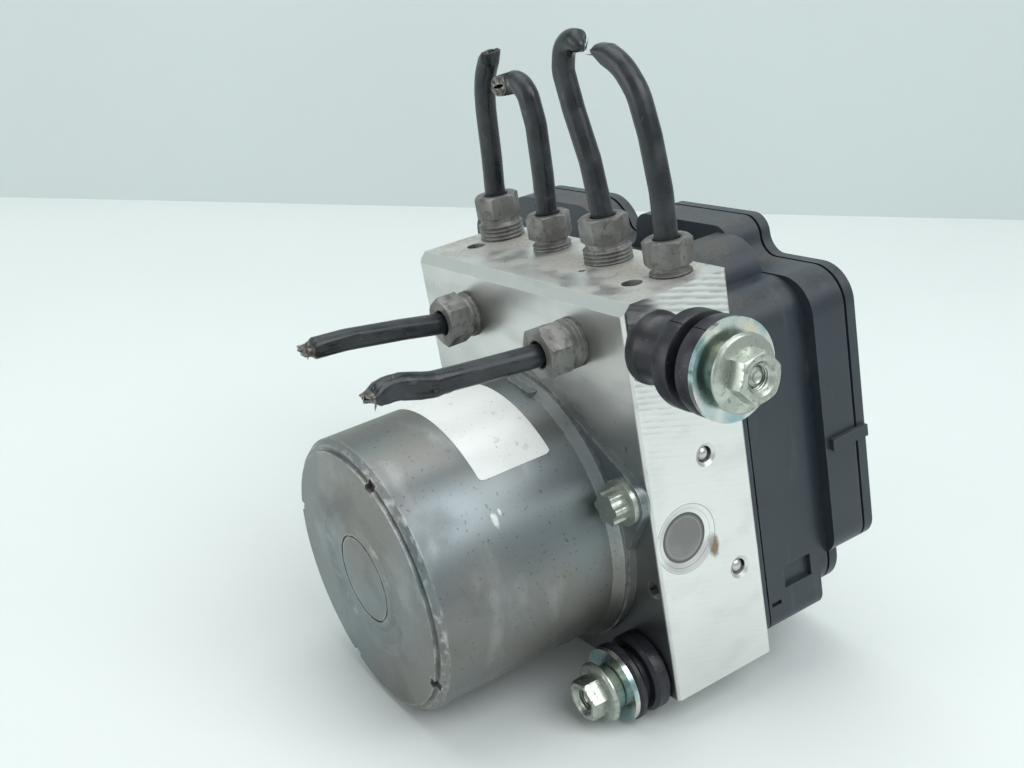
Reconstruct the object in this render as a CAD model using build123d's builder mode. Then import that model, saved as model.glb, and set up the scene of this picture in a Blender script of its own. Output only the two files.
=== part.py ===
from build123d import *
import math
import os

# Hydraulic control unit of a car's anti-lock brakes.
# Frame: +Z up, origin at the centre of the block's bottom face, the motor on the -Y side,
# the controller on the +Y side, the long rubber bush on the +X side. Millimetres.

# ---------------------------------------------------------------- driving dimensions
# hydraulic block
block_w = 91.0  # along X
block_d = 30.0  # along Y
block_h = 100.0  # along Z
block_bevel = 2.4  # worn bevel along the front top edge
block_round = 1.2  # vertical edges
running_clearance = 0.05
press_clearance = 0.02

# pump motor
motor_z = 40.5  # height of the motor axis, which is also the pump's
can_r = 34.8
can_wall = 1.8
can_length = 53.3  # from the block's front face to the flat end
can_end_step_r = 32.4  # where the flat end steps down to the rounded shoulder
can_end_step = 0.9
can_shoulder = 2.4
can_disc_r = 10.7
can_groove = 0.5
flange_r = 37.0
flange_t = 2.2
flange_lip = 1.6  # rolled lip between the can and its flange
bolt_circle_r = 40.8
bolt_angle = 17.5  # from +X, seen from the front
bolt_lobe_r = 6.4
lobe_flanks = (-20.0, 36.0)  # where a lobe leaves the flange circle, from its bolt
bolt_d = 5.0
bolt_head_d = 8.4
bolt_head_h = 5.6
bolt_flange_d = 11.4
bolt_flange_t = 1.5
notch_angles = (62, 162, 239, 328)  # crimp notches round the end's rim
notch_w = 2.8
notch_r = 1.4  # radial size
notch_depth = 0.8
tongue_angle = 79.5  # pressed tongue beside the flange
tongue_w = 10.3
tongue_length = 5.9
tongue_h = 0.7
magnet_t = 5.0
shaft_d = 8.0
nose_r = 4.7
armature_r = 24.0
armature_h = 22.0
armature_slots = 9
commutator_r = 10.5
commutator_h = 9.0
bearing_d = 19.0
bearing_t = 6.0

# pump
pump_y = -6.3
pump_bore_r = 6.2
pump_plug_recess = 0.9
pump_plug_t = 3.0
plug_ring_r = 8.3
eccentric = 1.0
eccentric_ring_r = 11.0
eccentric_bore_r = 13.6
piston_r = 3.2
piston_length = 13.0
piston_gap = 0.15
piston_travel = 0.9

# ports and union nuts: thread diameter, hexagon across flats, hexagon height, neck, pipe
port_y = 6.7
top_ports_x = (-35.9, -11.9, 12.3, 36.0)
top_threads = (12.0, 10.0, 12.0, 10.0)
front_ports = ((-22.5, 86.9), (24.5, 88.2))
front_threads = (12.0, 12.0)
port_depth = 13.0
nut_seat = 8.5  # how far a union nut screws in
nut_hex_af = (10.6, 10.2, 10.6, 10.2, 11.6, 11.6)  # across flats, top ones then front ones
nut_hex_h = 6.2
nut_neck = 1.2  # turned down between thread and hexagon
top_nut_rise = (5.6, 2.8, 4.8, 2.2)  # thread and neck left showing under each hexagon
front_nut_rise = (2.4, 3.7)
pipe_d = 5.5
pipe_wall = 0.9
pipe_bore_r = 3.2  # through each union nut
collar_t = 1.6

# mounting holes
lid_hole_r = 2.5
lid_hole_depth = 8.0
lid_holes = ((-34.8, -2.7), (33.5, -2.7))
front_hole_r = 2.1
front_hole_depth = 12.0
front_hole = (42.0, 29.3)
peg_hole = (13.9, -2.6)  # small blind hole on top
peg_hole_r = 0.9
peg_hole_depth = 1.6

# rubber bushes, the upper then the lower: centre on the face, rubber stack, nut with a collar
upper_bush = (-7.5, 88.5)  # Y and Z on the right face
lower_bush = (34.2, 5.0)  # X and Z on the front face
bush_r = (11.0, 9.8)
bush_groove_r = (7.4, 7.0)
bush_stack = ((11.0, 5.0, 8.4), (4.7, 2.2, 2.8))  # disc, groove, disc
washer_r = (11.1, 9.4)
washer_t = 1.3
stud_d = 6.0
stud_depth = 10.5
bush_collar_r = (6.0, 5.6)
bush_collar_h = (2.2, 3.1)
bush_flange_r = (8.5, 7.6)
bush_flange_t = 1.4
bush_nut_af = (10.0, 9.2)
bush_nut_h = 4.5  # hexagon above the flange

# low-pressure accumulators, bored from below
accumulator_x = 20.0
accumulator_y = 2.0
accumulator_r = 7.5
accumulator_depth = 24.0
accumulator_piston_h = 5.0
accumulator_cap_t = 2.4
accumulator_cap_recess = 0.8
accumulator_travel = 8.0
spring_wire = 1.3

# solenoid valves on the back face
valve_pitch_x = 20.5
inlet_z = 73.0
outlet_z = 54.5
valve_bore_r = 4.6
valve_bore_depth = 12.0
valve_dome_r = 3.9
valve_dome_length = 17.0
plunger_r = 2.4
plunger_length = 8.0
plunger_travel = 0.4
coil_r = 8.4
coil_length = 15.0

# controller
chamber_right = 44.5
chamber_left = -45.0
chamber_bottom = 3.4
chamber_top = 90.4
chamber_round = 9.0
ecu_wall = 2.2
tray_front = 37.0
tray_back = 47.0
cover_front = 47.8
cover_back = 51.0
tray_right = 48.0
tray_left = -104.0
tray_low_top = 90.7
tray_high_top = 100.5
tray_low_bottom = 17.5
tray_bottom = -1.5
tray_round = 9.0
socket_left = -93.5
socket_right = -55.0
socket_bottom = 18.0
socket_top = 80.0
socket_front = 16.5
socket_wall = 2.4
vent_left = 16.9
vent_right = 32.0
vent_top = 98.8
tab_z = 48.3
tab_w = 3.0
tab_t = 1.3
tab_end = 38.5
lip_h = 2.0
post_r = 3.4
screw_head_h = 2.6
board_t = 1.6
board_y = 43.0

os.makedirs("parts", exist_ok=True)

front_y = -block_d / 2
back_y = block_d / 2
right_x = block_w / 2


def facing_front(y):
    """A plane across Y whose sketches read X to the right and Z up, normal towards -Y."""
    return Plane(origin=(0, y, 0), x_dir=(1, 0, 0), z_dir=(0, -1, 0))


def facing_back(y):
    """A plane across Y whose sketches read X to the left and Z up, normal towards +Y."""
    return Plane(origin=(0, y, 0), x_dir=(-1, 0, 0), z_dir=(0, 1, 0))


def facing_right(x):
    """A plane across X whose sketches read Y to the right and Z up, normal towards +X."""
    return Plane(origin=(x, 0, 0), x_dir=(0, 1, 0), z_dir=(1, 0, 0))


def turned_face(plane, *points):
    """A closed face on a plane from its corners, ready to be revolved or extruded."""
    with BuildSketch(plane) as profile:
        with BuildLine():
            Polyline(*points, close=True)
        make_face()
    return profile.sketch


def section(seat):
    """A half-plane through a seat's axis: local x is the radius, local y the height."""
    return Plane(origin=seat.origin, x_dir=seat.x_dir, z_dir=-seat.y_dir)


def seat_axis(seat):
    return Axis(seat.origin, seat.z_dir)


def countersink(seat, outer_r, inner_r, depth):
    """Section of a staked rim: a cone from the face down to a bore, open above the face."""
    return turned_face(
        section(seat),
        (0, -depth),
        (inner_r, -depth),
        (outer_r, 0),
        (outer_r, 1),
        (0, 1),
    )


def tangent_point(apex, centre, radius, side):
    """Where a line from a point outside a circle touches it, side 1 or -1."""
    away = math.atan2(apex[1] - centre[1], apex[0] - centre[0])
    angle = away - side * math.acos(radius / math.dist(apex, centre))
    return (centre[0] + radius * math.cos(angle), centre[1] + radius * math.sin(angle))


def save(piece, name):
    piece.label = name
    export_step(piece, f"parts/{name}.step")


# ---------------------------------------------------------------- hydraulic block
front = facing_front(front_y)
right = facing_right(right_x)
valve_xs = [valve_pitch_x * (i - 1.5) for i in range(4)]
bolt_angles = (bolt_angle, bolt_angle + 180)
bolt_places = [
    (
        bolt_circle_r * math.cos(math.radians(a)),
        motor_z + bolt_circle_r * math.sin(math.radians(a)),
    )
    for a in bolt_angles
]
ball_plug_places = ((2.4, 58.7), (8.2, 26.7))
ball_plug_r = 2.0
ball_plug_depth = 7.0
ball_crater_r = 2.9
ball_crater_depth = 0.5
eccentric_depth = 16.5
screw_places = ((-38.0, 34.0), (38.0, 34.0), (-37.6, 83.0), (37.6, 83.0))
screw_r = 2.0
screw_depth = 9.0

with BuildPart() as hydraulic_block:
    with BuildSketch(Plane.XY):
        Rectangle(block_w, block_d)
    extrude(amount=block_h)
    top_front = hydraulic_block.edges().filter_by(Axis.X).group_by(Axis.Z)[-1].sort_by(Axis.Y)[0]
    chamfer(top_front, block_bevel)
    fillet(hydraulic_block.edges().filter_by(Axis.Z), block_round)
    # brake ports on top and in front
    for x, thread in zip(top_ports_x, top_threads):
        with Locations((x, port_y, block_h)):
            Hole(thread / 2 + press_clearance, depth=port_depth)
    for place, thread in zip(front_ports, front_threads):
        with Locations(front):
            with Locations(place):
                Hole(thread / 2 + press_clearance, depth=port_depth)
    # threaded mounting holes
    with Locations(*[(x, y, block_h) for x, y in lid_holes]):
        Hole(lid_hole_r, depth=lid_hole_depth)
    with Locations((*peg_hole, block_h)):
        Hole(peg_hole_r, depth=peg_hole_depth)
    with Locations(front):
        with Locations(front_hole):
            Hole(front_hole_r, depth=front_hole_depth)
        with Locations(lower_bush):
            Hole(stud_d / 2 + press_clearance, depth=stud_depth)
        with Locations(*bolt_places):
            Hole(bolt_d / 2 + press_clearance, depth=12)
        with Locations((0, motor_z)):
            Hole(eccentric_bore_r, depth=eccentric_depth)
            Hole(nose_r + running_clearance, depth=eccentric_depth + 5)
    with Locations(right):
        with Locations(upper_bush):
            Hole(stud_d / 2 + press_clearance, depth=stud_depth)
        with Locations(*ball_plug_places):
            Hole(ball_plug_r + press_clearance, depth=ball_plug_depth)
        with Locations((pump_y, motor_z)):
            Hole(pump_bore_r + press_clearance, depth=block_w)
    # staked rims round the pump plugs and the ball plugs
    for side in (1, -1):
        seat = Plane(origin=(side * right_x, pump_y, motor_z), x_dir=(0, 1, 0), z_dir=(side, 0, 0))
        rim = countersink(seat, plug_ring_r, pump_bore_r + press_clearance, pump_plug_recess)
        revolve(rim, axis=seat_axis(seat), mode=Mode.SUBTRACT)
    for place in ball_plug_places:
        seat = Plane(origin=(right_x, *place), x_dir=(0, 1, 0), z_dir=(1, 0, 0))
        rim = countersink(seat, ball_crater_r, ball_plug_r + press_clearance, ball_crater_depth)
        revolve(rim, axis=seat_axis(seat), mode=Mode.SUBTRACT)
    # accumulators from below
    with Locations(Plane.XY.rotated((180, 0, 0))):
        with Locations((-accumulator_x, -accumulator_y), (accumulator_x, -accumulator_y)):
            Hole(accumulator_r + running_clearance, depth=accumulator_depth)
    # valve and screw bores in the back face
    with Locations(facing_back(back_y)):
        with Locations(*[(x, z) for x in valve_xs for z in (inlet_z, outlet_z)]):
            Hole(valve_bore_r + press_clearance, depth=valve_bore_depth)
        with Locations(*[(-x, z) for x, z in screw_places]):
            Hole(screw_r + press_clearance, depth=screw_depth)
save(hydraulic_block.part, "hydraulic_block")

# ---------------------------------------------------------------- pump motor
# profiles below are (radius, distance in front of the block's middle)
can_inner_r = can_r - can_wall
can_end = block_d / 2 + can_length
flange_front = block_d / 2 + flange_t
block_front = block_d / 2
end_inside = can_end - can_wall - can_end_step
motor_plane = Plane(origin=(0, 0, motor_z), x_dir=(1, 0, 0), z_dir=(0, 0, -1))
motor_axis = Axis((0, 0, motor_z), (0, -1, 0))

can_outside = turned_face(
    motor_plane,
    (0, can_end),
    (can_end_step_r, can_end),
    (can_end_step_r, can_end - can_end_step),
    (can_r - can_shoulder / 2, can_end - can_end_step),
    (can_r, can_end - can_shoulder),
    (can_r, flange_front + 2 * flange_lip),
    (can_r + flange_lip, flange_front + flange_lip / 2),
    (can_r + flange_lip, block_front),
    (0, block_front),
)
can_inside = turned_face(
    motor_plane,
    (0, end_inside),
    (can_inner_r - 1.5, end_inside),
    (can_inner_r, end_inside - 1.5),
    (can_inner_r, block_front),
    (0, block_front),
)
end_groove = turned_face(
    motor_plane,
    (can_disc_r, can_end - can_groove),
    (can_disc_r + can_groove, can_end - can_groove),
    (can_disc_r + can_groove, can_end + 1),
    (can_disc_r, can_end + 1),
)
end_dish = turned_face(
    motor_plane,
    (can_disc_r + 1.6, can_end),
    (can_disc_r + 3.2, can_end - 0.55),
    (can_disc_r + 6.4, can_end - 0.55),
    (can_disc_r + 9.0, can_end),
)
with BuildPart() as motor_can:
    with BuildSketch(front):
        with Locations((0, motor_z)):
            Circle(flange_r)
        roots = [
            (flange_r * math.cos(math.radians(a)), flange_r * math.sin(math.radians(a)))
            for a in lobe_flanks
        ]
        bolt_centre = (bolt_circle_r, 0)
        flank_ends = [
            tangent_point(root, bolt_centre, bolt_lobe_r, side) for root, side in zip(roots, (-1, 1))
        ]
        for angle in bolt_angles:
            with Locations(Location((0, motor_z, 0), (0, 0, angle))):
                Polygon((0, 0), roots[0], *flank_ends, roots[1], align=None)
                with Locations(bolt_centre):
                    Circle(bolt_lobe_r)
    extrude(amount=flange_t)
    revolve(can_outside, axis=motor_axis)
    # pressed tongue beside the flange
    outward = Vector(1, 0, 0).rotate(Axis.Y, -tongue_angle)
    tongue_y = front_y - 0.4 - tongue_length / 2
    foot = Vector(0, tongue_y, motor_z) + outward * (can_r - 1.0)
    with BuildSketch(Plane(origin=foot, x_dir=(0, -1, 0), z_dir=outward)):
        RectangleRounded(tongue_length, tongue_w, 1.4)
    extrude(amount=1.0 + tongue_h)
    revolve(can_inside, axis=motor_axis, mode=Mode.SUBTRACT)
    revolve(end_groove, axis=motor_axis, mode=Mode.SUBTRACT)
    revolve(end_dish, axis=motor_axis, mode=Mode.SUBTRACT)
    with Locations(facing_front(front_y - flange_t)):
        with Locations(*bolt_places):
            Hole(bolt_d / 2 + running_clearance, depth=flange_t)
    # the lip is spot-faced beside each bolt
    with Locations(facing_front(front_y - flange_t - 5)):
        with Locations(*bolt_places):
            Hole(bolt_flange_d / 2 + 0.25, depth=5)
    # crimp notches in the step round the flat end
    with BuildSketch(facing_front(-can_end)):
        for angle in notch_angles:
            with Locations(Location((0, motor_z, 0), (0, 0, angle))):
                with Locations((can_end_step_r, 0)):
                    Rectangle(2 * notch_r, notch_w)
    extrude(amount=-can_end_step - notch_depth, mode=Mode.SUBTRACT)
save(motor_can.part, "motor_can")

magnet_back = flange_front + 10.0
magnet_front = can_end - 8.0
with BuildPart() as field_magnets:
    with BuildSketch(facing_front(-magnet_back)):
        with Locations((0, motor_z)):
            Circle(can_inner_r - press_clearance)
            Circle(can_inner_r - magnet_t, mode=Mode.SUBTRACT)
            Rectangle(3 * can_r, 9, mode=Mode.SUBTRACT)
            Rectangle(9, 3 * can_r, mode=Mode.SUBTRACT)
    extrude(amount=magnet_front - magnet_back)
save(field_magnets.part, "field_magnets")

pump_off = -pump_y
journal_r = shaft_d / 2 + 2.0
with BuildPart() as motor_shaft:
    with BuildSketch(facing_front(-pump_off - 5)):
        with Locations((0, motor_z)):
            Circle(shaft_d / 2)
    extrude(amount=end_inside - 0.3 - pump_off - 5)
    # eccentric journal, then the nose that runs in the block
    with BuildSketch(facing_front(-pump_off - 5)):
        with Locations((0, motor_z + eccentric)):
            Circle(journal_r)
    extrude(amount=-10)
    with BuildSketch(facing_front(-pump_off + 5)):
        with Locations((0, motor_z)):
            Circle(nose_r)
    extrude(amount=-6)
save(motor_shaft.part, "motor_shaft")

with BuildPart() as eccentric_bearing:
    with BuildSketch(facing_front(-pump_off - 4.5)):
        with Locations((0, motor_z + eccentric)):
            Circle(eccentric_ring_r)
            Circle(journal_r + press_clearance, mode=Mode.SUBTRACT)
    extrude(amount=-9)
save(eccentric_bearing.part, "eccentric_bearing")

armature_back = magnet_back + 4.0
with BuildPart() as armature_core:
    with BuildSketch(facing_front(-armature_back)):
        with Locations((0, motor_z)):
            Circle(armature_r)
            Circle(shaft_d / 2 + press_clearance, mode=Mode.SUBTRACT)
            with PolarLocations(armature_r - 6.0, armature_slots):
                Rectangle(9.0, 3.6, mode=Mode.SUBTRACT)
            with PolarLocations(armature_r - 1.0, armature_slots):
                Rectangle(4.0, 1.6, mode=Mode.SUBTRACT)
    extrude(amount=armature_h)
save(armature_core.part, "armature_core")

winding_h = 4.5
with BuildPart() as armature_winding:
    with BuildSketch(facing_front(-armature_back)):
        with Locations((0, motor_z)):
            with PolarLocations(armature_r - 6.0, armature_slots):
                Rectangle(8.8, 3.4)
    extrude(amount=armature_h)
    with BuildSketch(facing_front(-armature_back), facing_front(-armature_back - armature_h - winding_h)):
        with Locations((0, motor_z)):
            Circle(armature_r - 1.5)
            Circle(shaft_d / 2 + 2.4, mode=Mode.SUBTRACT)
    extrude(amount=-winding_h)
save(armature_winding.part, "armature_winding")

commutator_front = armature_back - winding_h - 0.2
with BuildPart() as commutator:
    with BuildSketch(facing_front(-commutator_front)):
        with Locations((0, motor_z)):
            Circle(commutator_r)
            Circle(shaft_d / 2 + press_clearance, mode=Mode.SUBTRACT)
            with PolarLocations(commutator_r, armature_slots):
                Rectangle(2.4, 0.6, mode=Mode.SUBTRACT)
    extrude(amount=-commutator_h)
save(commutator.part, "commutator")

with BuildPart() as rear_bearing:
    with BuildSketch(facing_front(-end_inside)):
        with Locations((0, motor_z)):
            Circle(bearing_d / 2)
            Circle(shaft_d / 2 + running_clearance, mode=Mode.SUBTRACT)
    extrude(amount=-bearing_t)
save(rear_bearing.part, "rear_bearing")

front_bearing_t = 2.4
with BuildPart() as front_bearing:
    with BuildSketch(facing_front(-block_front + front_bearing_t)):
        with Locations((0, motor_z)):
            Circle(eccentric_bore_r - press_clearance)
            Circle(shaft_d / 2 + running_clearance, mode=Mode.SUBTRACT)
    extrude(amount=front_bearing_t)
save(front_bearing.part, "front_bearing")

# brush plate on the block, with two guides for the brushes
plate_t = 1.6
brush_w = 6.0
brush_length = 12.0
guide_h = commutator_front - block_front - plate_t
with BuildPart() as brush_plate:
    with BuildSketch(front):
        with Locations((0, motor_z)):
            Circle(can_inner_r - press_clearance)
            Circle(shaft_d / 2 + 2.4, mode=Mode.SUBTRACT)
    extrude(amount=plate_t)
    with BuildSketch(facing_front(front_y - plate_t)):
        with Locations((-20.0, motor_z), (20.0, motor_z)):
            Rectangle(14.0, brush_w + 3.0)
            Rectangle(14.2, brush_w + 2 * running_clearance, mode=Mode.SUBTRACT)
    extrude(amount=guide_h)
save(brush_plate.part, "brush_plate")

with BuildPart() as carbon_brushes:
    with BuildSketch(facing_front(front_y - plate_t)):
        brush_x = commutator_r + running_clearance + brush_length / 2
        with Locations((-brush_x, motor_z), (brush_x, motor_z)):
            Rectangle(brush_length, brush_w)
    extrude(amount=guide_h - 0.5)
save(carbon_brushes.part, "carbon_brushes")

with BuildPart() as motor_bolts:
    with BuildSketch(facing_front(front_y + 11)):
        with Locations(*bolt_places):
            Circle(bolt_d / 2)
    extrude(amount=11 + flange_t)
    with BuildSketch(facing_front(front_y - flange_t)):
        with Locations(*bolt_places):
            Circle(bolt_flange_d / 2)
    extrude(amount=bolt_flange_t)
    # six-lobe driving head
    with BuildSketch(facing_front(front_y - flange_t - bolt_flange_t)):
        for place in bolt_places:
            with Locations(place):
                Circle(bolt_head_d * 0.41)
                with PolarLocations(bolt_head_d * 0.36, 6):
                    Circle(bolt_head_d * 0.14)
    extrude(amount=bolt_head_h - bolt_flange_t)
save(motor_bolts.part, "motor_bolts")

# ---------------------------------------------------------------- pump elements
cylinder_in = 17.0
cylinder_out = 38.0
plug_out = right_x - pump_plug_recess
piston_in = eccentric_ring_r + piston_gap + 1.0
piston_out = piston_in + piston_length
spring_in = piston_out + 0.3
spring_length = cylinder_out - spring_in
pump_place = (pump_y, motor_z)
for side, mark in ((1, "right"), (-1, "left")):
    with BuildPart() as pump_cylinder:
        with BuildSketch(facing_right(side * cylinder_in)):
            with Locations(pump_place):
                Circle(pump_bore_r)
                Circle(piston_r + running_clearance, mode=Mode.SUBTRACT)
        extrude(amount=side * (cylinder_out - cylinder_in))
    save(pump_cylinder.part, f"pump_cylinder_{mark}")

    with BuildPart() as pump_piston:
        with BuildSketch(facing_right(side * piston_in)):
            with Locations(pump_place):
                Circle(piston_r)
        extrude(amount=side * piston_length)
        chamfer(pump_piston.edges().filter_by(GeomType.CIRCLE), 0.4)
    save(pump_piston.part, f"pump_piston_{mark}")

    with BuildPart() as pump_spring:
        with BuildLine():
            turns = Helix(
                pitch=(spring_length - 0.8) / 4,
                height=spring_length - 0.8,
                radius=piston_r - 0.75,
                center=(side * (spring_in + 0.4), pump_y, motor_z),
                direction=(side, 0, 0),
            )
        with BuildSketch(Plane(origin=turns @ 0, z_dir=turns % 0)):
            Circle(0.4)
        sweep()
    save(pump_spring.part, f"pump_spring_{mark}")

    with BuildPart() as pump_plug:
        with BuildSketch(facing_right(side * cylinder_out)):
            with Locations(pump_place):
                Circle(pump_bore_r)
        extrude(amount=side * (plug_out - cylinder_out))
    save(pump_plug.part, f"pump_plug_{mark}")

# ---------------------------------------------------------------- accumulators
cap_top = accumulator_cap_recess + accumulator_cap_t
piston_bottom = accumulator_depth - accumulator_piston_h - 0.4
spring_height = piston_bottom + 2.2 - cap_top
for side, mark in ((1, "right"), (-1, "left")):
    place = (side * accumulator_x, accumulator_y)
    with BuildPart() as accumulator_cap:
        with BuildSketch(Plane.XY.offset(accumulator_cap_recess)):
            with Locations(place):
                Circle(accumulator_r)
        extrude(amount=accumulator_cap_t)
    save(accumulator_cap.part, f"accumulator_cap_{mark}")

    with BuildPart() as accumulator_piston:
        with BuildSketch(Plane.XY.offset(piston_bottom)):
            with Locations(place):
                Circle(accumulator_r - running_clearance)
        extrude(amount=accumulator_piston_h)
        with BuildSketch(Plane.XY.offset(piston_bottom)):
            with Locations(place):
                Circle(accumulator_r - 1.6)
        extrude(amount=2.2, mode=Mode.SUBTRACT)
    save(accumulator_piston.part, f"accumulator_piston_{mark}")

    with BuildPart() as accumulator_spring:
        with BuildLine():
            turns = Helix(
                pitch=(spring_height - spring_wire) / 3,
                height=spring_height - spring_wire,
                radius=accumulator_r - 3.0,
                center=(place[0], place[1], cap_top + spring_wire / 2),
            )
        with BuildSketch(Plane(origin=turns @ 0, z_dir=turns % 0)):
            Circle(spring_wire / 2)
        sweep()
    save(accumulator_spring.part, f"accumulator_spring_{mark}")

with BuildPart() as ball_plugs:
    with Locations(*[(right_x - ball_plug_r - 0.4, y, z) for y, z in ball_plug_places]):
        Sphere(ball_plug_r)
save(ball_plugs.part, "ball_plugs")

# ---------------------------------------------------------------- solenoid valves
# profiles are (radius, distance behind the block's middle)
valve_in = block_d / 2 - valve_bore_depth + 0.4
valve_end = block_d / 2 + valve_dome_length
cavity_in = block_d / 2 + 4.0
cavity_out = cavity_in + plunger_length + 2.5 * plunger_travel
valve_edges = (
    (0, valve_in),
    (valve_bore_r - 1.2, valve_in),
    (valve_bore_r, valve_in + 2.4),
    (valve_bore_r, block_d / 2),
    (valve_dome_r, block_d / 2),
    (valve_dome_r, valve_end - 1.4),
    (valve_dome_r - 1.4, valve_end),
    (0, valve_end),
)
cavity_edges = (
    (0, cavity_in),
    (plunger_r + running_clearance, cavity_in),
    (plunger_r + running_clearance, cavity_out),
    (0, cavity_out),
)
for name, z in (("inlet", inlet_z), ("outlet", outlet_z)):
    with BuildPart() as valves:
        for x in valve_xs:
            valve_plane = Plane(origin=(x, 0, z), x_dir=(1, 0, 0), z_dir=(0, 0, 1))
            revolve(turned_face(valve_plane, *valve_edges), axis=Axis((x, 0, z), (0, 1, 0)))
        for x in valve_xs:
            valve_plane = Plane(origin=(x, 0, z), x_dir=(1, 0, 0), z_dir=(0, 0, 1))
            hollow = turned_face(valve_plane, *cavity_edges)
            revolve(hollow, axis=Axis((x, 0, z), (0, 1, 0)), mode=Mode.SUBTRACT)
    save(valves.part, f"{name}_valves")
    for i, x in enumerate(valve_xs):
        with BuildPart() as plunger:
            with BuildSketch(facing_front(cavity_in + 1.5 * plunger_travel)):
                with Locations((x, z)):
                    Circle(plunger_r)
            extrude(amount=-plunger_length)
        save(plunger.part, f"{name}_plunger_{i + 1}")

coil_in = block_d / 2 + 0.6
with BuildPart() as solenoid_coils:
    with BuildSketch(facing_front(coil_in)):
        with Locations(*[(x, z) for x in valve_xs for z in (inlet_z, outlet_z)]):
            Circle(coil_r)
            Circle(valve_dome_r + press_clearance, mode=Mode.SUBTRACT)
    extrude(amount=-coil_length)
save(solenoid_coils.part, "solenoid_coils")

# ---------------------------------------------------------------- controller housing
# the moulding's outline, corner by corner with the radius of each
hump_x = 21.1
tray_corners = (
    ((tray_right, tray_low_top), tray_round),
    ((hump_x, tray_low_top), 4.85),
    ((hump_x, tray_high_top), 4.85),
    ((-16.6, tray_high_top), 4.85),
    ((-16.6, tray_low_top), 4.85),
    ((-32.6, tray_low_top), 3.0),
    ((-36.3, tray_high_top - 0.7), 11.0),
    ((-72.0, tray_high_top - 0.7), 15.0),
    ((tray_left, tray_low_top - 0.3), 8.0),
    ((tray_left, tray_bottom), 6.0),
    ((34.0, tray_bottom), 9.4),
    ((34.0, tray_low_bottom), 4.0),
    ((tray_right, tray_low_bottom), 6.0),
)


def tray_sketch(y, inset=0.0):
    """The moulding's outline at a depth, drawn in by an inset."""
    with BuildSketch(facing_front(y)) as outline:
        with BuildLine():
            Polyline(*[corner for corner, radius in tray_corners], close=True)
        make_face()
        for corner, radius in tray_corners:
            fillet(outline.vertices().sort_by_distance(Vector(*corner))[0], radius)
        if inset:
            offset(amount=-inset)
    return outline.sketch


def chamber_sketch(y, inset=0.0):
    """The coil chamber's outline at a depth, drawn in by an inset."""
    with BuildSketch(facing_front(y)) as outline:
        with Locations(((chamber_left + chamber_right) / 2, (chamber_bottom + chamber_top) / 2)):
            Rectangle(
                chamber_right - chamber_left - 2 * inset, chamber_top - chamber_bottom - 2 * inset
            )
        fillet(outline.vertices().group_by(Axis.Y)[-1], chamber_round - inset)
        fillet(outline.vertices().group_by(Axis.Y)[0], 4.0 - inset)
    return outline.sketch


tray_floor = tray_front + ecu_wall
bar_back = tray_front - 2.5
socket_x = (socket_left + socket_right) / 2
socket_z = (socket_bottom + socket_top) / 2
coil_pin_places = [(x + dx, z) for x in valve_xs for z in (inlet_z, outlet_z) for dx in (-6.0, 6.0)]
pin_w = 0.8
blade_places = ((socket_x, socket_bottom + 8.0), (socket_x, socket_top - 8.0))
blade_w = 7.0
pin_rows = 3
pins_in_row = 8
pin_pitch = 4.0

rim_t = 1.3
rim_gap = 0.5

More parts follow.
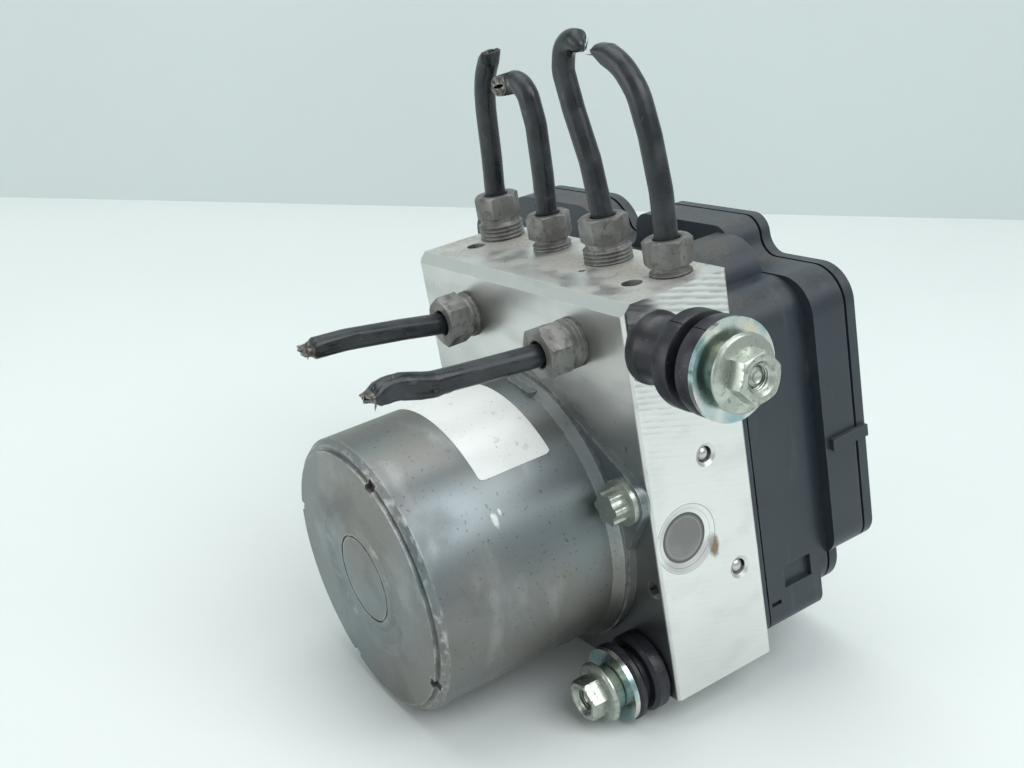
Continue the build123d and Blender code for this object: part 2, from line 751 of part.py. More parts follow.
with BuildPart() as ecu_housing:
    extrude(tray_sketch(tray_back), amount=tray_back - tray_front)
    # coil chamber: rim against the block, a narrow neck as a shadow line, then the walls
    extrude(chamber_sketch(tray_front), amount=tray_front - back_y - rim_t - rim_gap)
    extrude(chamber_sketch(back_y + rim_t + rim_gap, rim_gap), amount=rim_gap)
    extrude(chamber_sketch(back_y + rim_t), amount=rim_t)
    # vent box on the chamber's top
    with BuildSketch(facing_front(tray_front)) as vent_box:
        with Locations(((vent_left + vent_right) / 2, (vent_top + 80.0) / 2)):
            Rectangle(vent_right - vent_left, vent_top - 80.0)
        fillet(vent_box.vertices().sort_by_distance(Vector(vent_right, vent_top))[0], 9.0)
    extrude(amount=tray_front - back_y)
    # connector socket
    with BuildSketch(facing_front(tray_front)):
        with Locations((socket_x, socket_z)):
            RectangleRounded(socket_right - socket_left, socket_top - socket_bottom, 4.0)
    extrude(amount=tray_front - socket_front)
    # the chamber's foot stops short of the tray
    with BuildSketch(facing_front(tray_front)):
        with Locations((45.0, tray_low_bottom - 10.1)):
            Rectangle(21.8, 20.0)
    extrude(amount=tray_front - bar_back, mode=Mode.SUBTRACT)
    # hollows
    extrude(tray_sketch(tray_back, ecu_wall), amount=tray_back - tray_floor, mode=Mode.SUBTRACT)
    hollow_back = bar_back - ecu_wall
    extrude(
        chamber_sketch(hollow_back, ecu_wall), amount=hollow_back - back_y, mode=Mode.SUBTRACT
    )
    with BuildSketch(facing_front(tray_front)):
        with Locations((socket_x, socket_z)):
            RectangleRounded(
                socket_right - socket_left - 2 * socket_wall,
                socket_top - socket_bottom - 2 * socket_wall,
                2.0,
            )
    extrude(amount=tray_front - socket_front, mode=Mode.SUBTRACT)
    # posts for the fixing screws
    with BuildSketch(facing_front(tray_front)):
        with Locations(*screw_places):
            Circle(post_r)
    extrude(amount=tray_front - back_y)
    with BuildSketch(facing_front(tray_floor)):
        with Locations(*screw_places):
            Circle(screw_r + running_clearance)
    extrude(amount=tray_floor - back_y, mode=Mode.SUBTRACT)
    # slots for the pins
    with BuildSketch(facing_front(tray_floor)):
        with Locations(*coil_pin_places):
            Rectangle(pin_w + 2 * press_clearance, pin_w + 2 * press_clearance)
        with Locations((socket_x, socket_z)):
            with GridLocations(pin_pitch * 1.8, pin_pitch, pin_rows, pins_in_row):
                Rectangle(pin_w + 2 * press_clearance, pin_w + 2 * press_clearance)
        with Locations(*blade_places):
            Rectangle(blade_w + 2 * press_clearance, pin_w + 2 * press_clearance)
    extrude(amount=tray_floor - hollow_back, mode=Mode.SUBTRACT)
    # pocket and slot in the right wall
    with BuildSketch(facing_right(chamber_right)):
        with Locations((27.0, 17.0)):
            Rectangle(9.0, 6.0)
        with Locations((19.2, 11.0)):
            Rectangle(3.2, 1.2)
    extrude(amount=-1.4, mode=Mode.SUBTRACT)
save(ecu_housing.part, "ecu_housing")

with BuildPart() as ecu_cover:
    extrude(tray_sketch(cover_back), amount=cover_back - cover_front)
    fillet(ecu_cover.faces().sort_by(Axis.Y)[-1].edges(), 0.8)
    # lip that drops inside the tray
    extrude(tray_sketch(cover_front, ecu_wall + 0.3), amount=lip_h)
    extrude(tray_sketch(cover_front, ecu_wall + 1.5), amount=lip_h, mode=Mode.SUBTRACT)
    # snap tabs down both sides
    for edge_x, way in ((tray_right, 1), (tray_left, -1)):
        with BuildSketch(facing_front(cover_back - 0.8)):
            with Locations((edge_x, tab_z)):
                Rectangle(2 * tab_t, tab_w)
        extrude(amount=cover_back - 0.8 - cover_front)
        with BuildSketch(facing_front(cover_back - 0.8)):
            with Locations((edge_x + way * (tab_t + running_clearance) / 2, tab_z)):
                Rectangle(tab_t - running_clearance, tab_w)
        extrude(amount=cover_back - 0.8 - tab_end)
save(ecu_cover.part, "ecu_cover")

with BuildPart() as ecu_seal:
    extrude(tray_sketch(cover_front, 0.9), amount=cover_front - tray_back)
    extrude(tray_sketch(cover_front, 1.9), amount=cover_front - tray_back, mode=Mode.SUBTRACT)
save(ecu_seal.part, "ecu_seal")

with BuildPart() as block_seal:
    extrude(chamber_sketch(back_y + 1.6, ecu_wall + running_clearance), amount=1.6)
    extrude(chamber_sketch(back_y + 1.6, ecu_wall + 1.6), amount=1.6, mode=Mode.SUBTRACT)
    with BuildSketch(facing_front(back_y + 1.6)):
        with Locations(*screw_places):
            Circle(post_r + running_clearance)
    extrude(amount=1.6, mode=Mode.SUBTRACT)
save(block_seal.part, "block_seal")

# ---------------------------------------------------------------- electronics
pin_end = board_y + board_t + 0.8
with BuildPart() as circuit_board:
    extrude(tray_sketch(board_y + board_t, ecu_wall + 0.8), amount=board_t)
    with BuildSketch(facing_front(board_y + board_t)):
        with Locations(*coil_pin_places):
            Rectangle(pin_w + 2 * press_clearance, pin_w + 2 * press_clearance)
        with Locations((socket_x, socket_z)):
            with GridLocations(pin_pitch * 1.8, pin_pitch, pin_rows, pins_in_row):
                Rectangle(pin_w + 2 * press_clearance, pin_w + 2 * press_clearance)
        with Locations(*blade_places):
            Rectangle(blade_w + 2 * press_clearance, pin_w + 2 * press_clearance)
    extrude(amount=board_t, mode=Mode.SUBTRACT)
    # processor and driver on the block's side
    with BuildSketch(facing_front(board_y)):
        with Locations((0.0, 30.0)):
            Rectangle(16.0, 16.0)
        with Locations((-20.0, 30.0)):
            Rectangle(12.0, 10.0)
    extrude(amount=1.8)
save(circuit_board.part, "circuit_board")

with BuildPart() as connector_pins:
    with BuildSketch(facing_front(pin_end)):
        with Locations((socket_x, socket_z)):
            with GridLocations(pin_pitch * 1.8, pin_pitch, pin_rows, pins_in_row):
                Rectangle(pin_w, pin_w)
        with Locations(*blade_places):
            Rectangle(blade_w, pin_w)
    extrude(amount=pin_end - socket_front - 6.0)
save(connector_pins.part, "connector_pins")

with BuildPart() as coil_pins:
    with BuildSketch(facing_front(pin_end)):
        with Locations(*coil_pin_places):
            Rectangle(pin_w, pin_w)
    extrude(amount=pin_end - coil_in - coil_length)
save(coil_pins.part, "coil_pins")

with BuildPart() as ecu_screws:
    with BuildSketch(facing_front(tray_floor)):
        with Locations(*screw_places):
            Circle(screw_r)
    extrude(amount=tray_floor - back_y + screw_depth - 1.0)
    with BuildSketch(facing_front(tray_floor + screw_head_h)):
        with Locations(*screw_places):
            Circle(screw_r * 1.7)
    extrude(amount=screw_head_h)
    with BuildSketch(facing_front(tray_floor + screw_head_h)):
        with Locations(*screw_places):
            RegularPolygon(screw_r * 0.7, 6)
    extrude(amount=screw_head_h * 0.6, mode=Mode.SUBTRACT)
save(ecu_screws.part, "ecu_screws")

# ---------------------------------------------------------------- union nuts and pipes
# each port as a plane on the block's face, its normal pointing out
top_seats = [
    Plane(origin=(x, port_y, block_h), x_dir=(1, 0, 0), z_dir=(0, 0, 1)) for x in top_ports_x
]
front_seats = [
    Plane(origin=(x, front_y, z), x_dir=(1, 0, 0), z_dir=(0, -1, 0)) for x, z in front_ports
]
seats = top_seats + front_seats
threads = top_threads + front_threads
rises = top_nut_rise + front_nut_rise
nut_turns = (15.4, 12.8, -4.6, -12.3, 35.5, 16.4)


for size, thread_d in (("large", 12.0), ("small", 10.0)):
    with BuildPart() as union_nuts:
        for seat, thread, rise, across, turn in zip(seats, threads, rises, nut_hex_af, nut_turns):
            if thread != thread_d:
                continue
            flat = across / 2
            corner = flat / math.cos(math.pi / 6)
            top = rise + nut_hex_h
            with BuildSketch(seat.offset(-nut_seat)):
                Circle(thread / 2)
            extrude(amount=nut_seat + rise - nut_neck)
            with BuildSketch(seat.offset(rise - nut_neck)):
                Circle(thread / 2 - 0.8)
            extrude(amount=nut_neck)
            with BuildSketch(seat.offset(rise)):
                RegularPolygon(corner, 6, rotation=turn)
            extrude(amount=nut_hex_h)
            for end, way in ((top, -1), (rise, 1)):
                bevel = turned_face(
                    section(seat),
                    (flat, end),
                    (corner + 0.5, end),
                    (corner + 0.5, end + way * 0.9),
                    (corner, end + way * 0.6),
                )
                revolve(bevel, axis=seat_axis(seat), mode=Mode.SUBTRACT)
            with Locations(seat.offset(top)):
                Hole(pipe_bore_r, depth=top + nut_seat)
    save(union_nuts.part, f"union_nuts_{size}")

# pipe runs as (across, along) from each port; the top ones lean in X, the front ones in Z
pipe_start = nut_seat + collar_t
pipe_runs = (
    ("pipe_1", 0, 18.0, ((0, 13), (1.3, 21.1), (2.7, 34.4), (4.4, 42.3), (10.3, 49.7))),
    ("pipe_2", 1, 5.2, ((0, 10), (1.0, 18.9), (1.6, 31.6), (0.2, 38.9), (-2.8, 42.6), (-12.2, 41.1))),
    (
        "pipe_3",
        2,
        5.0,
        ((0, 12), (-1.6, 24.2), (-5.1, 35.9), (-7.1, 45.3), (-5.2, 50.6), (-1.1, 52.6), (3.2, 50.8)),
    ),
    ("pipe_4", 3, 12.0, ((0, 9.5), (0.3, 19.2), (-1.0, 31.5), (-3.2, 40.8), (-7.6, 46.6), (-14.9, 50.3))),
    ("pipe_front_left", 4, 20.0, ((0, 9), (2.0, 20.2), (4.3, 35.3), (5.1, 47.4))),
    ("pipe_front_right", 5, 14.0, ((0, 11), (1.3, 25.1), (2.6, 37.6), (4.8, 45.8), (4.7, 53.8))),
)
# the cut end of each is pinched shut: length of the pinch and half its thickness
pipe_pinches = ((3.0, 0.9), (2.0, 1.3), (2.2, 1.2), (3.0, 1.0), (3.5, 0.9), (3.5, 0.9))
for (name, port, bend, run), (pinch, half_t) in zip(pipe_runs, pipe_pinches):
    seat = seats[port]
    if port < 4:
        route = Plane(origin=seat.origin, x_dir=(1, 0, 0), z_dir=(0, -1, 0))
    else:
        route = Plane(origin=seat.origin, x_dir=(0, 0, 1), z_dir=(1, 0, 0))
    (before_x, before_y), (last_x, last_y) = run[-2:]
    keep = 1 - pinch / math.dist(run[-2], run[-1])
    stop = (before_x + (last_x - before_x) * keep, before_y + (last_y - before_y) * keep)
    with BuildPart() as pipe:
        with BuildLine(route):
            path = FilletPolyline((0, -pipe_start), *run[:-1], stop, radius=bend)
        with BuildSketch(Plane(origin=path @ 0, z_dir=path % 0)):
            Circle(pipe_d / 2)
            Circle(pipe_d / 2 - pipe_wall, mode=Mode.SUBTRACT)
        sweep()
        cut_end = Plane(origin=path @ 1, x_dir=route.z_dir, z_dir=path % 1)
        with BuildSketch(cut_end):
            Circle(pipe_d / 2)
        with BuildSketch(cut_end.offset(pinch)):
            Ellipse(pipe_d / 2 + 0.3, half_t)
        loft()
        # collar the nut presses into the port
        with BuildSketch(seat.offset(-pipe_start)):
            Circle(threads[port] / 2 - 1.2)
            Circle(pipe_d / 2 - 0.1, mode=Mode.SUBTRACT)
        extrude(amount=collar_t)
    save(pipe.part, name)

# ---------------------------------------------------------------- rubber bushes
bush_seats = (
    Plane(origin=(right_x, *upper_bush), x_dir=(0, 1, 0), z_dir=(1, 0, 0)),
    Plane(origin=(lower_bush[0], front_y, lower_bush[1]), x_dir=(1, 0, 0), z_dir=(0, -1, 0)),
)
for name, seat, outer_r, groove_r, stack in zip(
    ("upper_bush", "lower_bush"), bush_seats, bush_r, bush_groove_r, bush_stack
):
    groove_in = stack[0]
    groove_out = stack[0] + stack[1]
    top = sum(stack)
    edge = 0.9
    inner = stud_d / 2 + press_clearance
    rubber = turned_face(
        section(seat),
        (inner, 0),
        (outer_r - edge, 0),
        (outer_r, edge),
        (outer_r, groove_in - edge),
        (outer_r - edge, groove_in),
        (groove_r, groove_in),
        (groove_r, groove_out),
        (outer_r - edge, groove_out),
        (outer_r, groove_out + edge),
        (outer_r, top - edge),
        (outer_r - edge, top),
        (inner, top),
    )
    with BuildPart() as bush:
        revolve(rubber, axis=seat_axis(seat))
    save(bush.part, name)

with BuildPart() as bush_washers:
    for seat, rim, stack in zip(bush_seats, washer_r, bush_stack):
        with BuildSketch(seat.offset(sum(stack))):
            Circle(rim)
            Circle(stud_d / 2 + running_clearance, mode=Mode.SUBTRACT)
        extrude(amount=washer_t)
save(bush_washers.part, "bush_washers")

collars = zip(bush_collar_r, bush_collar_h, bush_flange_r, bush_nut_af)
with BuildPart() as bush_nuts:
    for seat, stack, (collar_r, collar_h, rim, across) in zip(bush_seats, bush_stack, collars):
        base = seat.offset(sum(stack) + washer_t)
        nut_top = collar_h + bush_flange_t + bush_nut_h
        with BuildSketch(base):
            Circle(collar_r)
        extrude(amount=collar_h)
        with BuildSketch(base.offset(collar_h)):
            Circle(rim)
        extrude(amount=bush_flange_t)
        with BuildSketch(base.offset(collar_h)):
            RegularPolygon(across / 2 / math.cos(math.pi / 6), 6, rotation=10)
        extrude(amount=bush_flange_t + bush_nut_h)
        with Locations(base.offset(nut_top)):
            Hole(stud_d / 2 + press_clearance, depth=nut_top)
save(bush_nuts.part, "bush_nuts")

with BuildPart() as bush_studs:
    for seat, stack, collar_h in zip(bush_seats, bush_stack, bush_collar_h):
        with BuildSketch(seat.offset(0.5 - stud_depth)):
            Circle(stud_d / 2)
        above = sum(stack) + washer_t + collar_h + bush_flange_t + bush_nut_h
        extrude(amount=stud_depth - 0.5 + above - 1.6)
save(bush_studs.part, "bush_studs")
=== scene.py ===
import bpy
import math
import random
from mathutils import Vector, Matrix


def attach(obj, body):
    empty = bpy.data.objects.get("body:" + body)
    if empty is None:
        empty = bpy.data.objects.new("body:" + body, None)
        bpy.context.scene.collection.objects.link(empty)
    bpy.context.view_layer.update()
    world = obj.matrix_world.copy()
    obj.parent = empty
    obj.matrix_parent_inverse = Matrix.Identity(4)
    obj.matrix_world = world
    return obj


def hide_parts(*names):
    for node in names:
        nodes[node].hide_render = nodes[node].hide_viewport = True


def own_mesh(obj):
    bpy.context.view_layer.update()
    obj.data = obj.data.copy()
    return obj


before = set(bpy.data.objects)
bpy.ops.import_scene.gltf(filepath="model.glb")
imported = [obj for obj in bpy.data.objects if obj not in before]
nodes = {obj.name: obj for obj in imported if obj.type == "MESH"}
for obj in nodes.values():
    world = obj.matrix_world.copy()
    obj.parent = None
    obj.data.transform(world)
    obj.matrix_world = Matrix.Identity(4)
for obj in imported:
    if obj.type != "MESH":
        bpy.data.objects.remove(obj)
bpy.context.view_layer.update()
random.seed(7)
mm = 0.001
print("frame loaded,", len(nodes), "nodes")

# the view, the floor the object rests on and the line where floor meets wall
cameraSetup = {
    "place": Vector((0.265845, -0.168078, 0.185503)),
    "right": Vector((0.53527, 0.82764, -0.16884)),
    "down": Vector((0.20780, -0.32276, -0.92339)),
    "focalPixels": 1315.07,
    "width": 1024,
    "height": 768,
    "sensor": 36.0,
}
floorSetup = {
    "restsOn": (
        Vector((-0.100, 0.037, -0.0015)), Vector((0.0342, -0.0255, -0.0045)), Vector((0.0, -0.066, 0.0057)),
    ),
    "color": (0.76, 0.80, 0.785),
    "wallColor": (0.60, 0.66, 0.655),
    "wallLine": ((0, 197), (1024, 220)),
    "halfWidth": 1.6,
    "depth": 3.0,
    "wallHeight": 2.4,
}


# shader helpers: a value that is another node's output is linked, any other value is set
def feed(value, socket):
    if hasattr(value, "is_output"):
        socket.id_data.links.new(value, socket)
    else:
        socket.default_value = (*value, 1) if socket.type == "RGBA" else value


def setAll(target, settings):
    for key, value in settings.items():
        setattr(target, key, value)


def addNode(tree, kind, inputs=(), **settings):
    node = tree.nodes.new("ShaderNode" + kind)
    setAll(node, settings)
    for key, value in dict(inputs).items():
        feed(value, node.inputs[key])
    return node


def calculate(operation, first, second, clamp=False):
    tree = first.id_data if hasattr(first, "is_output") else second.id_data
    return addNode(tree, "Math", {0: first, 1: second}, operation=operation, use_clamp=clamp).outputs[0]


def times(first, second, operation="MULTIPLY"):
    return calculate(operation, first, second, clamp=True)


def vectorMath(operation, first, second=(0, 0, 0)):
    node = addNode(first.id_data, "VectorMath", {0: first, 1: second}, operation=operation)
    return node.outputs["Value" if operation in ("DOT_PRODUCT", "LENGTH") else "Vector"]


def ramp(value, low, high, kind="SMOOTHSTEP"):
    inputs = {"Value": value, "From Min": low, "From Max": high}
    return addNode(value.id_data, "MapRange", inputs, interpolation_type=kind).outputs["Result"]


def noise(vector, size, detail):
    inputs = {"Vector": vector, "Scale": size, "Detail": detail}
    return addNode(vector.id_data, "TexNoise", inputs).outputs["Fac"]


def bump(height, depth, strength):
    inputs = {"Height": height, "Distance": depth, "Strength": strength}
    return addNode(height.id_data, "Bump", inputs).outputs["Normal"]


def newGroup(name, outputs, **inputs):
    # inputs by name with what they hold at first, a number or a vector
    group = bpy.data.node_groups.new(name, "ShaderNodeTree")
    for label, value in inputs.items():
        kind = "NodeSocketFloat" if isinstance(value, float) else "NodeSocketVector"
        group.interface.new_socket(label, in_out="INPUT", socket_type=kind).default_value = value
    for label in outputs:
        kind = "NodeSocketVector" if label == "normal" else "NodeSocketFloat"
        group.interface.new_socket(label, in_out="OUTPUT", socket_type=kind)
    return group, group.nodes.new("NodeGroupInput").outputs, group.nodes.new("NodeGroupOutput").inputs


def stretched(given):
    return vectorMath("MULTIPLY", given["vector"], given["stretch"])


def distance(given):
    offset = vectorMath("SUBTRACT", given["vector"], given["centre"])
    return vectorMath("LENGTH", vectorMath("MULTIPLY", offset, given["stretch"]))


origin = (0, 0, 0)
even = (1, 1, 1)

# patches: cloudy mask between two thresholds, stretched by a scale vector
patches, given, made = newGroup(
    "patches", ("mask",), vector=origin, stretch=even, size=60.0, detail=4.0, low=0.45, high=0.65
)
cloud = noise(stretched(given), given["size"], given["detail"])
feed(ramp(cloud, given["low"], given["high"]), made["mask"])

# facing: how far the surface looks along a direction
facing, given, made = newGroup("facing", ("mask",), direction=(0, 0, 1), low=0.85, high=0.97)
normal = addNode(facing, "NewGeometry").outputs["Normal"]
feed(ramp(vectorMath("DOT_PRODUCT", normal, given["direction"]), given["low"], given["high"]), made["mask"])

# spot: soft ball round a point, broken up by noise
spot, given, made = newGroup(
    "spot", ("mask",), vector=origin, centre=origin, stretch=even, radius=0.01, ragged=0.5, grain=900.0
)
share = calculate("DIVIDE", distance(given), given["radius"])
broken = calculate("MULTIPLY", noise(given["vector"], given["grain"], 3.0), given["ragged"])
feed(ramp(calculate("ADD", share, broken), 1.25, 0.75), made["mask"])

# worn and lit edges: mask along sharp edges, from a rounded normal, for edge wear and a painted edge
# highlight
edgeWearAndHighlight, given, made = newGroup("edgeWearAndHighlight", ("mask",), vector=origin, radius=0.0006, grain=300.0)
rounded = addNode(edgeWearAndHighlight, "Bevel", {"Radius": given["radius"]}, samples=4).outputs["Normal"]
normal = addNode(edgeWearAndHighlight, "NewGeometry").outputs["Normal"]
edge = ramp(vectorMath("DOT_PRODUCT", rounded, normal), 0.985, 0.90, "LINEAR")
gaps = ramp(noise(given["vector"], given["grain"], 2.0), 0.4, 0.6, "LINEAR")
feed(calculate("MULTIPLY", edge, gaps), made["mask"])

# grain: bump from stretched noise
grain, given, made = newGroup(
    "grain", ("normal",), vector=origin, stretch=even, size=2500.0, depth=0.00003, strength=0.4
)
feed(bump(noise(stretched(given), given["size"], 4.0), given["depth"], given["strength"]), made["normal"])

# band: between two heights along an axis, with soft ends
band, given, made = newGroup("band", ("mask",), vector=origin, axis=(0, 0, 1), low=0.0, high=0.01, soft=0.001)
height = vectorMath("DOT_PRODUCT", given["vector"], given["axis"])
over = calculate("SUBTRACT", height, given["low"])
under = calculate("SUBTRACT", given["high"], height)
feed(calculate("DIVIDE", calculate("MINIMUM", over, under), given["soft"], clamp=True), made["mask"])

# disc: inside a radius round a point, with a crisp edge; a stretch of 0 leaves an axis out
disc, given, made = newGroup(
    "disc", ("mask",), vector=origin, centre=origin, stretch=even, radius=0.01, soft=0.0002
)
inside = calculate("SUBTRACT", given["radius"], distance(given))
feed(calculate("DIVIDE", inside, given["soft"], clamp=True), made["mask"])

# milling: wavering grooves one pitch apart, a little off level, as a mask and as a bump
milling, given, made = newGroup("milling", ("mask", "normal"), vector=origin, pitch=0.0006)
turned = {"Vector": given["vector"], "Rotation": (math.radians(17), 0, 0)}
leaning = addNode(milling, "Mapping", turned).outputs[0]
# the wave texture repeats every tau / 20 over its scale
waveSetup = {
    "Vector": vectorMath("MULTIPLY", leaning, (0.25, 0.25, 1)),
    "Scale": calculate("DIVIDE", math.tau / 20, given["pitch"]),
    "Distortion": 2.6,
    "Detail": 3.0,
    "Detail Scale": 0.45,
    "Detail Roughness": 0.6,
}
wave = addNode(milling, "TexWave", waveSetup, bands_direction="Z", wave_profile="SIN").outputs["Fac"]
feed(ramp(wave, 0.55, 0.95, "LINEAR"), made["mask"])
feed(bump(wave, 0.00006, 0.5), made["normal"])


def useGroup(group, place, **values):
    node = addNode(place.id_data, "Group", node_tree=group)
    if "vector" in node.inputs:
        feed(place, node.inputs["vector"])
    for key, value in values.items():
        feed(value, node.inputs[key])
    return node.outputs[0]


def mix(kind, base, top, mask, amount):
    # base where the mask is 0, top where it is 1
    if amount != 1:
        mask = times(mask, amount)
    node = addNode(mask.id_data, "Mix", {"Factor": mask}, data_type="FLOAT" if kind == "VALUE" else kind)
    ends = [s for s in node.inputs if s.type == kind and s.name in ("A", "B")]
    for value, socket in zip((base, top), ends):
        feed(value, socket)
    return [s for s in node.outputs if s.type == kind][0]


def mixColor(base, top, mask, amount=1):
    return mix("RGBA", base, top, mask, amount)


def mixValue(base, top, mask, amount=1):
    return mix("VALUE", base, top, mask, amount)


def clouds(place, size, low, high, detail=4.0, stretch=even):
    # patches of a size, between two thresholds
    return useGroup(patches, place, size=size, low=low, high=high, detail=detail, stretch=stretch)


def bumps(place, size, depth, strength, stretch=even):
    return useGroup(grain, place, size=size, depth=depth, strength=strength, stretch=stretch)


def cover(base, top, amount, place, *shape):
    # a colour laid over another in clouds
    return mixColor(base, top, clouds(place, *shape), amount)


def rubAndHighlightEdges(base, top, amount, place, radius, size):
    # a colour laid over another along the sharp edges: edge wear and a painted edge highlight
    return mixColor(base, top, useGroup(edgeWearAndHighlight, place, radius=radius, grain=size), amount)


def dress(material, color, roughness, normal=None, metallic=None):
    inputs = material.node_tree.nodes["Principled BSDF"].inputs
    for label, value in (
        ("Base Color", color), ("Roughness", roughness), ("Normal", normal), ("Metallic", metallic)
    ):
        if value is not None:
            feed(value, inputs[label])
    return material


def newMaterial(name, color, roughness, metallic=0.0):
    material = bpy.data.materials.new(name)
    material.use_nodes = True
    dress(material, color, roughness, metallic=metallic)
    return material, addNode(material.node_tree, "TexCoord").outputs["Object"]


# what the block, the can and the housing are finished with
blockFinish = {
    "bare": (0.74, 0.745, 0.72),
    "dull": (0.47, 0.475, 0.46),
    "cut": (0.86, 0.87, 0.85),
    "cone": (0.84, 0.85, 0.83),
    "edge": (0.86, 0.86, 0.84),
    "groove": (0.34, 0.35, 0.34),
    "dust": (0.33, 0.30, 0.25),
    "stain": (0.10, 0.085, 0.065),
    "rust": (0.20, 0.135, 0.08),
    "shade": (0.20, 0.215, 0.225),
    "pitch": 0.00138,
    "pumpPlug": (0, -0.0063, 0.0405),
    "plugRimRadius": 0.0085,
    "rimStain": (0.0450, 0.0014, 0.0356),
    "rimLines": ((0.00868, 0.00845), (0.00745, 0.00730), (0.00625, 0.00580)),
}
canFinish = {
    "cool": (0.205, 0.235, 0.243),
    "warm": (0.235, 0.226, 0.208),
    "dark": (0.13, 0.14, 0.145),
    "speck": (0.05, 0.045, 0.04),
    "rubbed": (0.62, 0.64, 0.63),
    "shoulderFrom": -0.0687,
    "shoulderTo": -0.0655,
    "scuffs": (
        ((0.0305, -0.0466, 0.0573), (1, 1.6, 0.42), 0.0019),
        ((0.0300, -0.0448, 0.0590), (1, 1.8, 0.5), 0.0011),
    ),
}
housingFinish = {
    "base": (0.021, 0.030, 0.040),
    "worn": (0.034, 0.044, 0.055),
    "dust": (0.135, 0.118, 0.098),
    "edge": (0.085, 0.105, 0.125),
}


def plugRing(place, outer, inner, soft):
    # a ring round the axis of the pump plugs
    discs = [
        useGroup(disc, place, centre=blockFinish["pumpPlug"], stretch=(0, 1, 1), radius=radius, soft=soft)
        for radius in (outer, inner)
    ]
    return times(*discs, "SUBTRACT")


def makeBlockMetal():
    tones = blockFinish
    material, place = newMaterial("blockMetal", tones["bare"], 0.30, 1.0)
    cloud = clouds(place, 34.0, 0.36, 0.72)
    ways = ((1, 0, 0), (-1, 0, 0), (0, 0, 1), (0, -1, 0))
    right, left, top, front = (useGroup(facing, place, direction=way) for way in ways)
    sides = times(right, left, "ADD")
    color = mixColor(tones["bare"], tones["dull"], cloud, 0.40)
    # painted shade: the whole front face is darkened a little
    color = mixColor(color, tones["dull"], front, 0.25)
    color = cover(color, tones["groove"], 0.35, place, 95.0, 0.48, 0.74, 7.0, (0.5, 1, 1.6))
    color = mixColor(color, tones["cut"], sides, 0.45)
    # milled lines across the two side faces
    lines = useGroup(milling, place, pitch=tones["pitch"])
    gate = clouds(place, 190.0, 0.38, 0.62, 4.0, (1, 1, 4))
    upper = useGroup(band, place, axis=(0, -0.35, 1), low=0.062, high=0.2, soft=0.030)
    lineMask = times(times(lines, gate), times(sides, mixValue(0.10, 1.0, upper)))
    # turned cones round the pump plugs, bright and free of milling
    rim = useGroup(disc, place, centre=tones["pumpPlug"], stretch=(0, 1, 1), radius=tones["plugRimRadius"])
    lineMask = times(lineMask, rim, "SUBTRACT")
    color = mixColor(color, tones["cone"], rim, 0.85)
    rust = useGroup(spot, place, centre=tones["rimStain"], stretch=(1, 1.5, 0.7), radius=0.0028, grain=1500.0)
    color = mixColor(color, tones["rust"], times(rust, sides), 0.9)
    for outer, inner in tones["rimLines"]:
        ring = times(plugRing(place, outer, inner, 0.00005), times(sides, 0.8))
        color = mixColor(color, tones["groove"], ring)
    color = mixColor(color, tones["groove"], lineMask, 0.55)
    # the lower front face is duller, in the shade of the can
    low = useGroup(band, place, axis=(0, 0, -1), low=-0.078, high=0.1, soft=0.030)
    color = mixColor(color, tones["shade"], times(low, front), 0.9)
    # dust settled on the top face, and a few specks and nicks
    film = clouds(place, 85.0, 0.34, 0.66, 8.0)
    fine = clouds(place, 900.0, 0.35, 0.7, 3.0)
    topDust = times(top, times(film, mixValue(0.55, 1.0, fine)))
    color = mixColor(color, tones["dust"], topDust, 0.85)
    speck = clouds(place, 650.0, 0.66, 0.74, 2.0)
    color = mixColor(color, tones["stain"], times(speck, top), 0.65)
    nick = clouds(place, 330.0, 0.71, 0.77, 1.0, (1.2, 1, 0.5))
    color = mixColor(color, tones["stain"], times(nick, front), 0.6)
    # edge wear and a painted highlight along the block's edges
    color = rubAndHighlightEdges(color, tones["edge"], 0.7, place, 0.0007, 160.0)
    rough = mixValue(mixValue(0.30, 0.44, cloud), 0.24, sides)
    rough = mixValue(rough, 0.80, topDust, 0.9)
    # tool marks: lines on the side faces, a slanting brush on the rest
    slant = bumps(place, 3000.0, 0.00001, 0.06, (0.06, 1, 0.8))
    scored = times(times(sides, rim, "SUBTRACT"), mixValue(0.15, 0.70, upper))
    marks = mix("VECTOR", slant, lines.node.outputs["normal"], scored, 1)
    return dress(material, color, rough, marks, mixValue(1.0, 0.25, topDust, 0.9))


